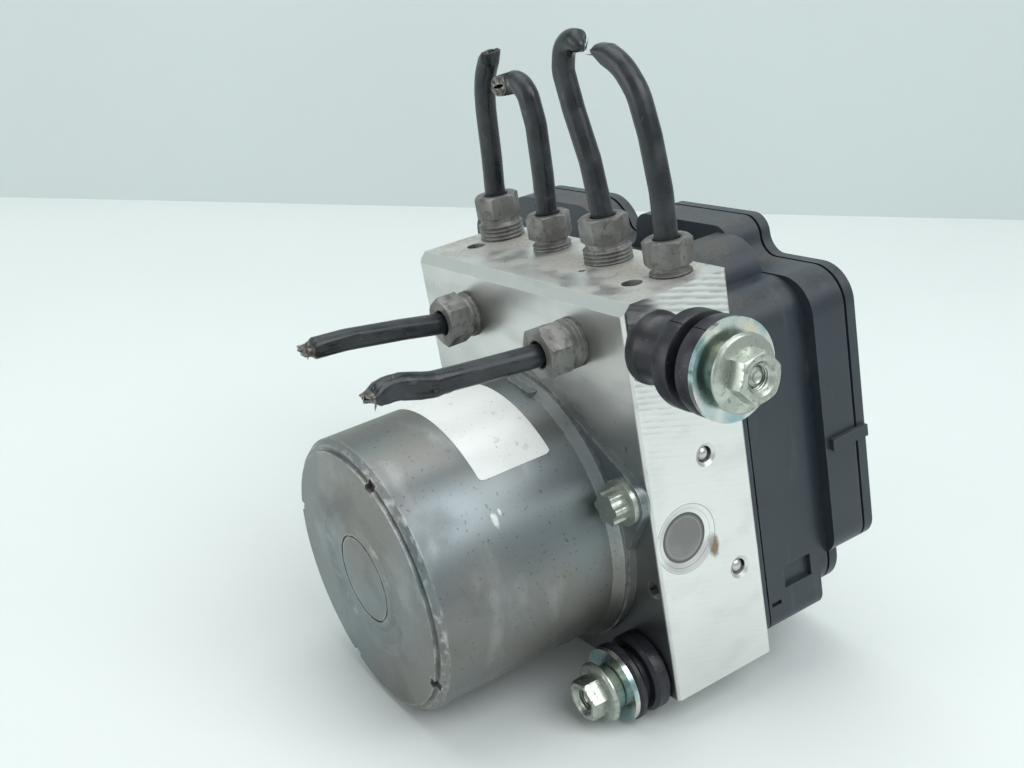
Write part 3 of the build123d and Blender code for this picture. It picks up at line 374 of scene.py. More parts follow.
def makeCanZinc():
    tones = canFinish
    material, place = newMaterial("canZinc", tones["cool"], 0.40, 0.88)
    cloud = clouds(place, 26.0, 0.38, 0.66, 6.0)
    color = mixColor(tones["cool"], tones["warm"], cloud)
    blot = clouds(place, 70.0, 0.50, 0.74, 8.0, (1, 0.55, 1))
    color = mixColor(color, tones["dark"], blot, 0.45)
    color = cover(color, tones["rubbed"], 0.22, place, 48.0, 0.55, 0.75, 7.0, (1, 2.2, 1))
    color = cover(color, tones["speck"], 0.45, place, 1100.0, 0.64, 0.72, 2.0)
    # plating rubbed white on the shoulder, towards the right and the top
    span = {"low": tones["shoulderFrom"], "high": tones["shoulderTo"], "soft": 0.0006}
    shoulder = useGroup(band, place, axis=(0, 1, 0), **span)
    side = useGroup(facing, place, direction=(0.85, -0.35, 0.35), low=0.30, high=0.85)
    ragged = clouds(place, 300.0, 0.50, 0.68, 8.0, (1, 2, 1))
    rubbed = times(times(shoulder, side), ragged)
    for centre, stretch, radius in tones["scuffs"]:
        scuff = useGroup(spot, place, centre=centre, stretch=stretch, radius=radius, ragged=0.9)
        rubbed = times(rubbed, scuff, "MAXIMUM")
    color = mixColor(color, tones["rubbed"], rubbed, 0.6)
    # edges lightened: edge wear and a painted edge highlight
    color = rubAndHighlightEdges(color, tones["rubbed"], 0.55, place, 0.0008, 420.0)
    rough = mixValue(mixValue(0.36, 0.50, cloud), 0.62, blot, 0.5)
    drawn = bumps(place, 900.0, 0.00002, 0.30, (1, 0.12, 1))
    pitted = bumps(place, 420.0, 0.00003, 0.22)
    endFace = useGroup(facing, place, direction=(0, -1, 0))
    return dress(material, color, rough, mix("VECTOR", drawn, pitted, endFace, 1))


def makeHousingPlastic():
    tones = housingFinish
    material, place = newMaterial("housingPlastic", tones["base"], 0.42)
    cloud = clouds(place, 40.0, 0.35, 0.70, 6.0)
    color = mixColor(tones["base"], tones["worn"], cloud)
    up = useGroup(facing, place, direction=(0, 0, 1), low=0.30, high=0.95)
    film = clouds(place, 60.0, 0.36, 0.72, 9.0)
    fine = clouds(place, 1300.0, 0.40, 0.66, 3.0)
    dust = times(up, times(film, mixValue(0.35, 1.0, fine)))
    color = mixColor(color, tones["dust"], dust, 0.85)
    color = cover(color, tones["edge"], 0.30, place, 210.0, 0.60, 0.78, 5.0, (1, 1, 0.25))
    # edges lightened in the housing's highlight colour: a painted edge highlight, with some edge wear
    color = rubAndHighlightEdges(color, tones["edge"], 0.6, place, 0.0005, 350.0)
    rough = mixValue(mixValue(0.34, 0.50, cloud), 0.85, dust)
    return dress(material, color, rough, bumps(place, 3200.0, 0.00002, 0.35))


def makeMetal(
    name, color, worn, rough, metallic=1.0, size=150.0, edgeColor=None, dirt=None, depth=0.00002, rings=()
):
    material, place = newMaterial(name, color, rough[0], metallic)
    cloud = clouds(place, size, 0.38, 0.66, 6.0)
    mixed = mixColor(color, worn, cloud)
    roughness = mixValue(*rough, cloud)
    if dirt:
        grime = clouds(place, size * 3.1, 0.52, 0.68, 7.0)
        mixed = mixColor(mixed, dirt, grime, 0.7)
        roughness = mixValue(roughness, 0.8, grime, 0.6)
    # edges lightened: edge wear and a painted edge highlight
    if edgeColor:
        mixed = rubAndHighlightEdges(mixed, edgeColor, 0.6, place, 0.0004, 900.0)
    for outer, inner, tone in rings:
        mixed = mixColor(mixed, tone, plugRing(place, outer, inner, 0.00006), 0.7)
    return dress(material, mixed, roughness, bumps(place, 1800.0, depth, 0.35))


def makeSoft(name, color, worn, rough, depth=0.00003, size=120.0, specks=None):
    material, place = newMaterial(name, color, rough[0])
    cloud = clouds(place, size, 0.36, 0.70, 6.0)
    mixed = mixColor(color, worn, cloud)
    if specks:
        mixed = cover(mixed, specks, 0.7, place, 1500.0, 0.66, 0.76, 2.0)
    fineGrain = bumps(place, 2600.0, depth, 0.4)
    return dress(material, mixed, mixValue(*rough, cloud), fineGrain)


def makeWasherZinc():
    # bright plating whose thin film turns straw and rose in places, with blue patches that are a painted
    # reflection of the surroundings
    material, place = newMaterial("washerZinc", (0.70, 0.71, 0.68), 0.24, 1.0)
    color = (0.68, 0.70, 0.66)
    for tint, size, low, high, amount in (
        # painted reflection: blue patches for the bluish surroundings mirrored in the plating
        ((0.27, 0.44, 0.47), 85.0, 0.42, 0.58, 0.85),
        ((0.78, 0.72, 0.48), 120.0, 0.56, 0.68, 0.60),
        ((0.70, 0.58, 0.62), 150.0, 0.60, 0.70, 0.40),
    ):
        color = cover(color, tint, amount, place, size, low, high, 3.0, (1, 1.3, 0.8))
    color = cover(color, (0.40, 0.40, 0.37), 0.5, place, 260.0, 0.66, 0.72, 3.0, (1, 9, 0.7))
    # bright edges: a painted edge highlight, with edge wear
    color = rubAndHighlightEdges(color, (0.88, 0.88, 0.84), 0.7, place, 0.0004, 900.0)
    rough = mixValue(0.20, 0.34, clouds(place, 180.0, 0.4, 0.65))
    return dress(material, color, rough, bumps(place, 1500.0, 0.00002, 0.25))


def makePipeCoat():
    # black coating, rubbed in streaks along each pipe
    material, place = newMaterial("pipeCoat", (0.012, 0.014, 0.017), 0.32)
    cloud = clouds(place, 150.0, 0.40, 0.70, 6.0)
    color = mixColor((0.010, 0.013, 0.016), (0.032, 0.037, 0.042), cloud)
    color = cover(color, (0.10, 0.10, 0.095), 0.45, place, 900.0, 0.62, 0.74, 4.0, (1, 0.3, 0.3))
    dents = bumps(place, 420.0, 0.00008, 0.35)
    return dress(material, color, mixValue(0.26, 0.48, cloud), dents)


def makeLabelFilm():
    # bare white label film, dirtied with specks and blots
    material, place = newMaterial("labelFilm", (0.78, 0.80, 0.78), 0.38)
    film = clouds(place, 70.0, 0.42, 0.75, 7.0)
    color = mixColor((0.80, 0.82, 0.80), (0.66, 0.67, 0.64), film, 0.6)
    color = cover(color, (0.20, 0.17, 0.14), 0.6, place, 1700.0, 0.66, 0.74, 3.0)
    color = cover(color, (0.34, 0.32, 0.28), 0.5, place, 210.0, 0.62, 0.74, 8.0)
    wrinkle = bumps(place, 300.0, 0.00004, 0.25)
    return dress(material, color, mixValue(0.32, 0.55, film), wrinkle)


blockMetal = makeBlockMetal()
canZinc = makeCanZinc()
housingPlastic = makeHousingPlastic()
washerZinc = makeWasherZinc()
pipeCoat = makePipeCoat()
labelFilm = makeLabelFilm()
nutZinc = makeMetal(
    "nutZinc", (0.245, 0.245, 0.235), (0.175, 0.17, 0.16), (0.46, 0.62), 0.75, 210.0,
    (0.42, 0.415, 0.40), (0.135, 0.125, 0.11), 0.00005,
)
boltZinc = makeMetal(
    "boltZinc", (0.52, 0.56, 0.50), (0.42, 0.45, 0.40), (0.28, 0.42), 1.0, 300.0,
    (0.74, 0.76, 0.71), (0.30, 0.30, 0.26),
)
# turned rings on the face of a plug: a wide dark one, a lighter rim and the edge of the centre
plugSteel = makeMetal(
    "plugSteel", (0.29, 0.287, 0.283), (0.25, 0.247, 0.242), (0.42, 0.55), 0.9, 120.0,
    rings=(
        (0.0075, 0.00560, (0.10, 0.10, 0.10)), (0.00520, 0.00500, (0.40, 0.40, 0.39)),
        (0.00180, 0.00165, (0.24, 0.24, 0.235)),
    ),
)
brightSteel = makeMetal("brightSteel", (0.62, 0.62, 0.61), (0.50, 0.50, 0.49), (0.25, 0.40))
tornSteel = makeMetal(
    "tornSteel", (0.20, 0.19, 0.175), (0.055, 0.05, 0.045), (0.35, 0.6), 0.85, 700.0, (0.55, 0.52, 0.47)
)
copperBar = makeMetal("copperBar", (0.72, 0.36, 0.20), (0.55, 0.26, 0.14), (0.35, 0.5))
coilLacquer = makeMetal("coilLacquer", (0.06, 0.06, 0.065), (0.09, 0.09, 0.09), (0.4, 0.55), 0.3)
pinTin = makeMetal("pinTin", (0.70, 0.69, 0.66), (0.6, 0.6, 0.57), (0.3, 0.4))
ferrite = makeSoft("ferrite", (0.05, 0.05, 0.05), (0.08, 0.075, 0.07), (0.6, 0.8))
carbonGrey = makeSoft("carbonGrey", (0.03, 0.03, 0.03), (0.05, 0.05, 0.05), (0.5, 0.7))
innerPlastic = makeSoft("innerPlastic", (0.10, 0.09, 0.08), (0.13, 0.12, 0.10), (0.45, 0.6))
boardGreen = makeSoft("boardGreen", (0.02, 0.12, 0.05), (0.03, 0.16, 0.07), (0.35, 0.5))
sealRubber = makeSoft("sealRubber", (0.015, 0.015, 0.017), (0.03, 0.03, 0.03), (0.6, 0.75))
bushRubber = makeSoft(
    "bushRubber", (0.007, 0.007, 0.011), (0.017, 0.018, 0.026), (0.34, 0.55), 0.00006, 130.0,
    (0.13, 0.115, 0.10),
)
print("materials made")

nodeFinish = {
    "hydraulic_block": blockMetal, "motor_can": canZinc, "ecu_housing": housingPlastic,
    "ecu_cover": housingPlastic, "field_magnets": ferrite, "brush_plate": innerPlastic,
    "carbon_brushes": carbonGrey, "armature_winding": copperBar, "commutator": copperBar,
    "motor_bolts": boltZinc, "circuit_board": boardGreen, "connector_pins": pinTin, "coil_pins": pinTin,
    "ecu_seal": sealRubber, "block_seal": sealRubber, "solenoid_coils": coilLacquer,
    "union_nuts_large": nutZinc, "union_nuts_small": nutZinc, "upper_bush": bushRubber,
    "lower_bush": bushRubber, "bush_washers": washerZinc, "bush_nuts": boltZinc, "bush_studs": boltZinc,
}
for name, node in nodes.items():
    finish = nodeFinish.get(name, brightSteel)
    if name.startswith("pipe_"):
        finish = pipeCoat
    elif name.startswith(("pump_plug", "accumulator_cap")):
        finish = plugSteel
    node.data.materials.clear()
    node.data.materials.append(finish)
print("nodes finished")


# modelling helpers
def pick(*pieces):
    # these pieces alone are selected, and the first of them is active
    active = bpy.context.view_layer.objects.active
    if active and active.mode != "OBJECT":
        bpy.ops.object.mode_set(mode="OBJECT")
    bpy.ops.object.select_all(action="DESELECT")
    for piece in pieces:
        piece.select_set(True)
    if pieces:
        bpy.context.view_layer.objects.active = pieces[0]


def objectMode():
    bpy.ops.object.mode_set(mode="OBJECT")


def editAll():
    # edit mode with the whole mesh selected
    bpy.ops.object.mode_set(mode="EDIT")
    bpy.ops.mesh.select_all(action="SELECT")


def addObject(name, data):
    added = bpy.data.objects.new(name, data)
    bpy.context.scene.collection.objects.link(added)
    return added


def activePiece(name):
    piece = bpy.context.view_layer.objects.active
    piece.name = name
    piece.data.name = name
    return piece


def choose(piece, kind, test):
    # selects what passes the test, in edit mode: VERT by place, EDGE by its two ends, FACE by itself
    objectMode()
    bpy.context.tool_settings.mesh_select_mode = (kind == "VERT", kind == "EDGE", kind == "FACE")
    mesh = piece.data
    for items in (mesh.vertices, mesh.edges, mesh.polygons):
        items.foreach_set("select", [False] * len(items))
    for item in {"VERT": mesh.vertices, "EDGE": mesh.edges, "FACE": mesh.polygons}[kind]:
        if kind == "VERT":
            item.select = test(item.co)
        elif kind == "EDGE":
            item.select = test(*(mesh.vertices[i].co for i in item.vertices))
        else:
            item.select = test(item)
    bpy.ops.object.mode_set(mode="EDIT")


# points closer than the first are merged, and a cut keeps to its plane within the second, in metres
weld = 0.000002
exact = 0.0000001


def startPoint(name):
    # a new piece of a single point, left in edit mode
    pick()
    bpy.ops.mesh.primitive_plane_add(size=mm, location=(0, 0, 0))
    piece = activePiece(name)
    bpy.ops.object.mode_set(mode="EDIT")
    bpy.context.tool_settings.mesh_select_mode = (True, False, False)
    bpy.ops.mesh.select_all(action="SELECT")
    bpy.ops.mesh.merge(type="CENTER")
    return piece


def turnPiece(name, profile, steps=64):
    # spins a closed profile of (radius, height) in millimetres round Z
    piece = startPoint(name)
    radius, height = profile[0]
    bpy.ops.transform.translate(value=(radius * mm, 0, height * mm))
    for nextRadius, nextHeight in (*profile[1:], profile[0]):
        step = ((nextRadius - radius) * mm, 0, (nextHeight - height) * mm)
        bpy.ops.mesh.extrude_vertices_move(TRANSFORM_OT_translate={"value": step})
        radius, height = nextRadius, nextHeight
    bpy.ops.mesh.select_all(action="SELECT")
    bpy.ops.mesh.spin(steps=steps, angle=math.tau, center=(0, 0, 0), axis=(0, 0, 1), use_auto_merge=True)
    bpy.ops.mesh.select_all(action="SELECT")
    bpy.ops.mesh.remove_doubles(threshold=weld)
    bpy.ops.mesh.normals_make_consistent(inside=False)
    objectMode()
    return piece


def modify(piece, kind, **settings):
    pick(piece)
    setAll(piece.modifiers.new("change", kind), settings)
    bpy.ops.object.modifier_apply(modifier="change")


def cutWith(piece, cutter, operation):
    modify(piece, "BOOLEAN", object=cutter, operation=operation, solver="EXACT")
    bpy.data.objects.remove(cutter, do_unlink=True)


def placePiece(piece, matrix):
    pick(piece)
    piece.matrix_world = matrix
    bpy.ops.object.transform_apply(location=True, rotation=True, scale=True)


def finishPiece(piece, material, angle=32):
    pick(piece)
    bpy.ops.object.shade_smooth_by_angle(angle=math.radians(angle))
    piece.data.materials.clear()
    piece.data.materials.append(material)
    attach(piece, "unit")


def seatMatrix(place, across, outward):
    # local X along across, local Z along outward, the place in millimetres
    z = Vector(outward).normalized()
    x = (Vector(across) - z * z.dot(Vector(across))).normalized()
    turn = Matrix((x, z.cross(x), z)).transposed().to_4x4()
    return Matrix.Translation(Vector(place) * mm) @ turn


def hexNut(name, seat, shank, across, low, high, bore, drop, turn, chamferBelow):
    # a hexagon with chamfered ends over a turned shank, both with the same bore
    flat = across / 2
    corner = flat / math.cos(math.pi / 6)
    past, chamfer, inset = 0.4, 0.75, 0.05
    lowFlat = flat if chamferBelow else corner + past
    profile = (
        (bore, low), (lowFlat - inset, low), (corner + past, low + chamfer), (corner + past, high - chamfer),
        (flat - inset, high), (bore + drop, high), (bore, high - drop),
    )
    nut = turnPiece(name, profile, 96)
    bpy.ops.mesh.primitive_cylinder_add(
        vertices=6, radius=corner * mm, depth=(high - low + 2) * mm, location=(0, 0, (low + high) / 2 * mm)
    )
    prism = activePiece(name + "Prism")
    # the primitive's first corner is on Y, so it turns by 90 degrees less
    prism.rotation_euler = (0, 0, math.radians(turn - 90))
    bpy.context.view_layer.update()
    cutWith(nut, prism, "INTERSECT")
    pick(nut, turnPiece(name + "Shank", shank, 72))
    bpy.ops.object.join()
    modify(nut, "BEVEL", width=0.10 * mm, segments=2, limit_method="ANGLE", angle_limit=math.radians(25))
    placePiece(nut, seat)
    return nut


def threadRings(outer, inner, low, high, pitch):
    # the outline of a thread seen from the side, as (radius, height)
    points = []
    crestFrom, crestTo = 0.38, 0.62
    count = max(1, round((high - low) / pitch))
    step = (high - low) / count
    for i in range(count):
        base = low + i * step
        points += [(inner, base), (outer, base + crestFrom * step), (outer, base + crestTo * step)]
    return points + [(inner, high)]


# union nuts of the six ports: place across, height at the front, turn, thread, rise and hexagon
unionNut = {
    "top": (
        (-35.9, 15.4, 12, 5.6, 10.6), (-11.9, 12.8, 10, 2.8, 10.2), (12.3, -4.6, 12, 4.8, 10.6),
        (36.0, -12.3, 10, 2.2, 10.2),
    ),
    "front": ((-22.5, 86.9, 35.5, 12, 2.4, 11.6), (24.5, 88.2, 16.4, 12, 3.7, 11.6)),
    "portY": 6.7,
    "blockTop": 100.0,
    "blockFront": -15.0,
    "hexHeight": 6.2,
    "neck": 1.3,
    "neckInset": 0.85,
    "bore": 3.2,
    "below": -2.0,
    "pitch": 1.0,
    "threadDepth": 0.55,
}
unionSeats = [
    (seatMatrix((x, unionNut["portY"], unionNut["blockTop"]), (1, 0, 0), (0, 0, 1)), *sizes)
    for x, *sizes in unionNut["top"]
] + [
    (seatMatrix((x, unionNut["blockFront"], z), (1, 0, 0), (0, -1, 0)), *sizes)
    for x, z, *sizes in unionNut["front"]
]
for index, (seat, turn, thread, rise, across) in enumerate(unionSeats):
    outer = thread / 2
    neck = outer - unionNut["neckInset"]
    neckFrom = rise - unionNut["neck"]
    bore, below = unionNut["bore"], unionNut["below"]
    rings = threadRings(outer, outer - unionNut["threadDepth"], below, neckFrom, unionNut["pitch"])
    nut = hexNut(
        f"unionNut{index + 1}", seat,
        [(bore, below), *rings, (neck, neckFrom + 0.35), (neck, rise + 0.2), (bore, rise + 0.2)],
        across, rise, rise + unionNut["hexHeight"], bore, drop=0.35, turn=turn, chamferBelow=True,
    )
    finishPiece(nut, nutZinc, angle=28)
    if index == 0:
        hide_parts("union_nuts_large")
    if index == 1:
        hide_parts("union_nuts_small")
print("union nuts made")

# collar nuts that hold the two rubber bushes
bushNut = {
    "upper": {
        "place": (45.5, -7.5, 88.5), "across": (0, 1, 0), "outward": (1, 0, 0), "base": 25.7,
        "collar": (6.0, 2.2), "flange": 8.5, "hex": 10.0,
    },
    "lower": {
        "place": (34.2, -15.0, 5.0), "across": (1, 0, 0), "outward": (0, -1, 0), "base": 11.0,
        "collar": (5.6, 3.1), "flange": 7.6, "hex": 9.2,
    },
    "flangeHeight": 1.4,
    "hexHeight": 4.5,
    "threadOuter": 3.05,
    "threadInner": 2.6,
    "studBelow": 1.5,
    "stud": (
        (0, -3.5), (2.35, -3.5), (2.55, -1.2), (2.1, -0.35), (1.3, -0.05), (0.9, -0.35), (0, -0.45),
    ),
}
for which in ("upper", "lower"):
    nutSetup = bushNut[which]
    base, rim, hexHalf = nutSetup["base"], nutSetup["flange"], nutSetup["hex"] / 2
    collarR, collarH = nutSetup["collar"]
    flangeFrom = base + collarH
    flangeTo = flangeFrom + bushNut["flangeHeight"]
    top = flangeTo + bushNut["hexHeight"]
    outer, inner = bushNut["threadOuter"], bushNut["threadInner"]
    seat = seatMatrix(nutSetup["place"], nutSetup["across"], nutSetup["outward"])
    shank = [
        (outer, base), (collarR - 0.3, base), (collarR, base + 0.3), (collarR, flangeFrom),
        (rim - 0.25, flangeFrom), (rim, flangeFrom + 0.3), (rim, flangeFrom + 0.75),
        (rim - 0.5, flangeTo - 0.1), (hexHalf + 0.7, flangeTo + 0.15), (hexHalf, flangeTo + 0.3),
        (outer, flangeTo + 0.3),
    ]
    nut = hexNut(
        f"{which}BushNut", seat, shank, nutSetup["hex"], flangeFrom + 0.3, top, outer,
        drop=0.7, turn=10, chamferBelow=False,
    )
    finishPiece(nut, boltZinc, angle=28)
    # threads inside the nut, then the stud's rounded end below its mouth
    back, low, high = outer + 0.15, flangeTo - 1.0, top - 0.75
    rings = threadRings(inner, outer, low, high, 0.85)
    liner = turnPiece(f"{which}NutThread", [(back, low), *rings, (back, high)], 48)
    placePiece(liner, seat)
    finishPiece(liner, boltZinc)
    studTop = top - bushNut["studBelow"]
    stud = turnPiece(f"{which}StudEnd", [(radius, studTop + rise) for radius, rise in bushNut["stud"]], 48)
    placePiece(stud, seat)
    finishPiece(stud, boltZinc)
    if which == "upper":
        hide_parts("bush_nuts")
        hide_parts("bush_studs")
print("bush nuts made")

# upper rubber bush: two discs near the washer, a groove between them and a neck down to the block
upperBush = {
    "place": (45.5, -7.5, 88.5),
    "profile": (
        (4.2, 0), (8.4, 0), (8.4, 0.7), (7.6, 1.6), (7.4, 2.4), (7.4, 11.5), (7.8, 12.0), (10.4, 12.1),
        (10.85, 12.3), (11.0, 12.8), (11.0, 16.3), (10.8, 16.75), (10.4, 16.9), (7.5, 17.1), (7.4, 17.4),
        (7.4, 19.3), (7.5, 19.6), (10.4, 19.8), (10.85, 19.95), (11.0, 20.4), (11.0, 23.8), (10.8, 24.25),
        (10.4, 24.4), (4.2, 24.4),
    ),
    "discRadius": 11.0,
    "discs": ((12.0, 17.0), (19.7, 24.5)),
    "seamAngles": (115.0, -65.0),
    "seamWidth": 0.22,
    "seamDepth": 0.35,
}
rubber = turnPiece("upperBushRubber", upperBush["profile"], 96)
for low, high in upperBush["discs"]:
    for angle in upperBush["seamAngles"]:
        turn = math.radians(angle)
        reach = upperBush["discRadius"] * mm
        bpy.ops.mesh.primitive_cube_add(
            size=mm, rotation=(0, 0, turn),
            location=(reach * math.cos(turn), reach * math.sin(turn), (low + high) / 2 * mm),
            scale=(2 * upperBush["seamDepth"], upperBush["seamWidth"], high - low + 0.4),
        )
        cutWith(rubber, activePiece("seamCutter"), "DIFFERENCE")
placePiece(rubber, seatMatrix(upperBush["place"], (0, 1, 0), (1, 0, 0)))
finishPiece(rubber, bushRubber, angle=35)
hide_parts("upper_bush")
print("upper bush made")

# bare label round the upper side of the motor can
canLabel = {
    "motorZ": 40.5,
    "radius": 34.83,
    "fromY": -45.6,
    "toY": -26.2,
    "fromAngle": 44.0,
    "toAngle": 109.0,
    "rows": 12,
    "columns": 40,
    "corner": 1.6,
    "cornerWithin": 0.2,
    "thickness": 0.09,
}


def makeLabel(setup):
    # a column of points along Y, spun round the motor axis into a curved sheet
    label = startPoint("canLabel")
    radius = setup["radius"] * mm
    first, last = math.radians(setup["fromAngle"]), math.radians(setup["toAngle"])
    centre = Vector((0, 0, setup["motorZ"] * mm))
    start = (radius * math.cos(first), setup["fromY"] * mm, centre.z + radius * math.sin(first))
    bpy.ops.transform.translate(value=start)
    stride = (setup["toY"] - setup["fromY"]) / setup["rows"] * mm
    for row in range(setup["rows"]):
        bpy.ops.mesh.extrude_vertices_move(TRANSFORM_OT_translate={"value": (0, stride, 0)})
    bpy.ops.mesh.select_all(action="SELECT")
    bpy.ops.mesh.spin(steps=setup["columns"], angle=last - first, center=centre, axis=(0, 1, 0))
    bpy.ops.mesh.select_all(action="SELECT")
    bpy.ops.mesh.remove_doubles(threshold=weld)
    corners = [
        Vector((radius * math.cos(angle), y * mm, centre.z + radius * math.sin(angle)))
        for angle in (first, last) for y in (setup["fromY"], setup["toY"])
    ]
    near = setup["cornerWithin"] * mm
    choose(label, "VERT", lambda co: any((co - corner).length < near for corner in corners))
    bpy.ops.mesh.bevel(offset=setup["corner"] * mm, affect="VERTICES", segments=5, profile=0.5)
    bpy.ops.mesh.select_all(action="SELECT")
    bpy.ops.mesh.normals_make_consistent(inside=False)
    objectMode()
    faces = label.data.polygons
    if sum(face.normal.dot(face.center - Vector((0, face.center.y, centre.z))) for face in faces) < 0:
        editAll()
        bpy.ops.mesh.flip_normals()
        objectMode()
    modify(label, "SOLIDIFY", thickness=setup["thickness"] * mm, offset=1)
    finishPiece(label, labelFilm)


makeLabel(canLabel)
print("label made")

# brake pipes, copied from the frame and torn open at their cut ends, in millimetres
tornPipe = {
    "radius": 2.75,
    "cutBefore": 0.15,
    "near": 9.2,
    "onPlane": 0.003,
    "rimWithin": 4.5,
    "boreShare": 0.85,
    "bins": 17,
    "toothRange": (-0.6, 1.0),
    "bareWithin": 4.8,
    "bareInside": 0.5,
    "smoothAngle": 38,
}
# each ring is (advance, half width, half thickness, turn in degrees) along the end;
# bare metal shows within a depth of the torn edge, where one is given
tornEnds = {
    "pipe_1": {
        "end": (-25.6, 6.7, 149.7), "towards": (0.624, 0, 0.782), "pinch": 3.0, "across": (0, 1, 0),
        "rings": ((1.0, 2.85, 2.2, 0), (1.1, 2.95, 1.4, 0), (0.9, 2.9, 0.8, 0)),
        "teeth": 0.35, "slant": 0.0, "slit": 0.3,
    },
    "pipe_2": {
        "end": (-24.1, 6.7, 141.1), "towards": (-0.987, 0, -0.158), "pinch": 7.6, "across": (0, 1, 0),
        "rings": (
            (0.7, 2.8, 2.75, -13), (0.94, 2.85, 2.7, -18), (0.94, 2.85, 2.65, -18), (0.94, 2.85, 2.6, -18),
            (0.95, 2.88, 2.5, -18), (0.7, 3.0, 2.4, -11),
        ),
        "teeth": 0.3, "slant": 0.0, "slit": 0.3, "bare": 0.12,
    },
    "pipe_3": {
        "end": (15.5, 6.7, 150.8), "towards": (0.922, 0, -0.386), "pinch": 3.1, "across": (0, 1, 0),
        "rings": ((0.8, 2.8, 2.3, 18), (0.8, 2.8, 1.8, 18), (0.6, 2.75, 1.4, 14)),
        "teeth": 0.4, "slant": -0.1, "slit": 0.2,
    },
    "pipe_4": {
        "end": (21.1, 6.7, 150.3), "towards": (-0.892, 0, 0.452), "pinch": 3.0, "across": (0, 1, 0),
        "rings": ((1.0, 2.85, 2.35, 0), (1.1, 2.95, 1.8, 0), (0.7, 2.95, 1.3, 0)),
        "teeth": 0.35, "slant": -0.3, "slit": 0.5,
    },
    "pipe_front_left": {
        "end": (-22.5, -62.4, 92.0), "towards": (0, -0.998, 0.066), "pinch": 3.5, "across": (1, 0, 0),
        "rings": ((0.7, 2.5, 2.1, 0), (0.9, 2.35, 1.7, 0), (0.9, 2.4, 1.5, 0), (0.6, 2.5, 1.6, 0)),
        "teeth": 0.8, "slant": 0.1, "slit": 0.4, "bare": 2.3,
    },
    "pipe_front_right": {
        "end": (24.5, -68.8, 92.9), "towards": (0, -1, -0.0125), "pinch": 3.5, "across": (1, 0, 0),
        "rings": ((0.7, 2.8, 2.2, 0), (0.9, 2.7, 1.5, 0), (0.9, 2.5, 1.1, 0), (0.3, 2.4, 1.0, 0)),
        "teeth": 0.6, "slant": -0.1, "slit": 0.4, "bare": 1.3,
    },
}
# long folds pressed into the two front pipes, on the side away from the can; the right one is squeezed
furrow = {"ringEvery": 1.3, "outside": 1.6, "drop": 0.4, "halfHeight": 0.5, "reach": 1.3}
pipeFolds = {
    "pipe_front_left": {
        "x": -22.5, "z": ((-59.5, 91.4), (-50.3, 91.2), (-35.2, 88.9)),
        "from": -58.1, "to": -34.0, "depth": 0.55,
    },
    "pipe_front_right": {
        "x": 24.5, "z": ((-65.5, 92.9), (-60.8, 93.0), (-52.6, 90.8), (-40.1, 89.5)),
        "from": -64.6, "to": -40.0, "depth": 0.75, "squeezedZ": 92.5,
        "squeezed": ((-64.5, -60.0, 1.10), (-60.0, -55.5, 1.15), (-55.5, -51.5, 1.11), (-51.5, -48.0, 1.05)),
    },
}
# curled slivers left by the cutter: base, direction, length, thickness and bend in degrees
slivers = {
    "pipe_1": (((-24.6, 5.0, 149.6), (0.9, -0.2, 0.3), 1.0, 0.22, 20),),
    "pipe_3": (
        ((17.8, 5.0, 150.5), (1.7, -0.3, 1.0), 2.8, 0.28, 60),
        ((17.2, 4.6, 150.4), (-2.2, -0.3, -1.7), 3.4, 0.12, 60),
    ),
    "pipe_4": (((21.8, 4.0, 149.5), (-1, -0.2, -0.15), 2.4, 0.20, 20),),
    "pipe_front_left": (
        ((-21.8, -60.6, 92.9), (0.2, -0.4, 1), 1.7, 0.28, 40),
        ((-21.4, -61.6, 91.9), (0.2, -0.9, 0.6), 1.5, 0.30, 60),
        ((-21.6, -60.9, 90.6), (0.3, -0.5, -0.8), 1.1, 0.28, 30),
    ),
    "pipe_front_right": (
        ((25.6, -61.5, 95.2), (0.1, 0.3, 1), 1.3, 0.34, 30),
        ((25.8, -66.4, 91.6), (0.2, -0.5, -1), 1.9, 0.34, 40),
        ((25.4, -66.0, 94.2), (0.1, -0.4, 1), 1.2, 0.30, 30),
    ),
}


def copyNode(name, newName):
    piece = addObject(newName, nodes[name].data.copy())
    piece.data.name = newName
    piece.data.materials.clear()
    pick(piece)
    editAll()
    bpy.ops.mesh.remove_doubles(threshold=weld)
    objectMode()
    return piece


def foldPipe(piece, setup):
    # rings every millimetre or so, then a furrow drawn in along the side
    y = setup["from"]
    while y < setup["to"]:
        editAll()
        bpy.ops.mesh.bisect(plane_co=(0, y * mm, 0), plane_no=(0, 1, 0), threshold=exact)
        objectMode()
        y += furrow["ringEvery"]

    def furrowHeight(y):
        points = setup["z"]
        for (y0, z0), (y1, z1) in zip(points, points[1:]):
            if y <= y1 * mm:
                return (z0 + (z1 - z0) * (y / mm - y0) / (y1 - y0) - furrow["drop"]) * mm
        return (points[-1][1] - furrow["drop"]) * mm

    side = (setup["x"] + furrow["outside"]) * mm
    half = furrow["halfHeight"] * mm
    middle = (setup["from"] + setup["to"]) / 2 * mm
    for low, high, share in ((setup["from"] * mm, middle, 1.0), (middle, setup["to"] * mm, 0.6)):
        choose(
            piece, "VERT",
            lambda co: low < co.y <= high and co.x > side and abs(co.z - furrowHeight(co.y)) < half,
        )
        bpy.ops.transform.translate(
            value=(-setup["depth"] * share * mm, 0, 0), use_proportional_edit=True,
            proportional_size=furrow["reach"] * mm, proportional_edit_falloff="SMOOTH",
            use_proportional_connected=True,
        )
        objectMode()


def squeezePipe(piece, setup):
    # pressed between two jaws: taller than it is wide along the outer stretch
    for low, high, tall in setup["squeezed"]:
        centre = Vector((setup["x"], (low + high) / 2, setup["squeezedZ"])) * mm
        choose(piece, "VERT", lambda co: low * mm < co.y <= high * mm)
        bpy.ops.transform.resize(value=(2 - tall, 1, tall), center_override=centre)
        objectMode()


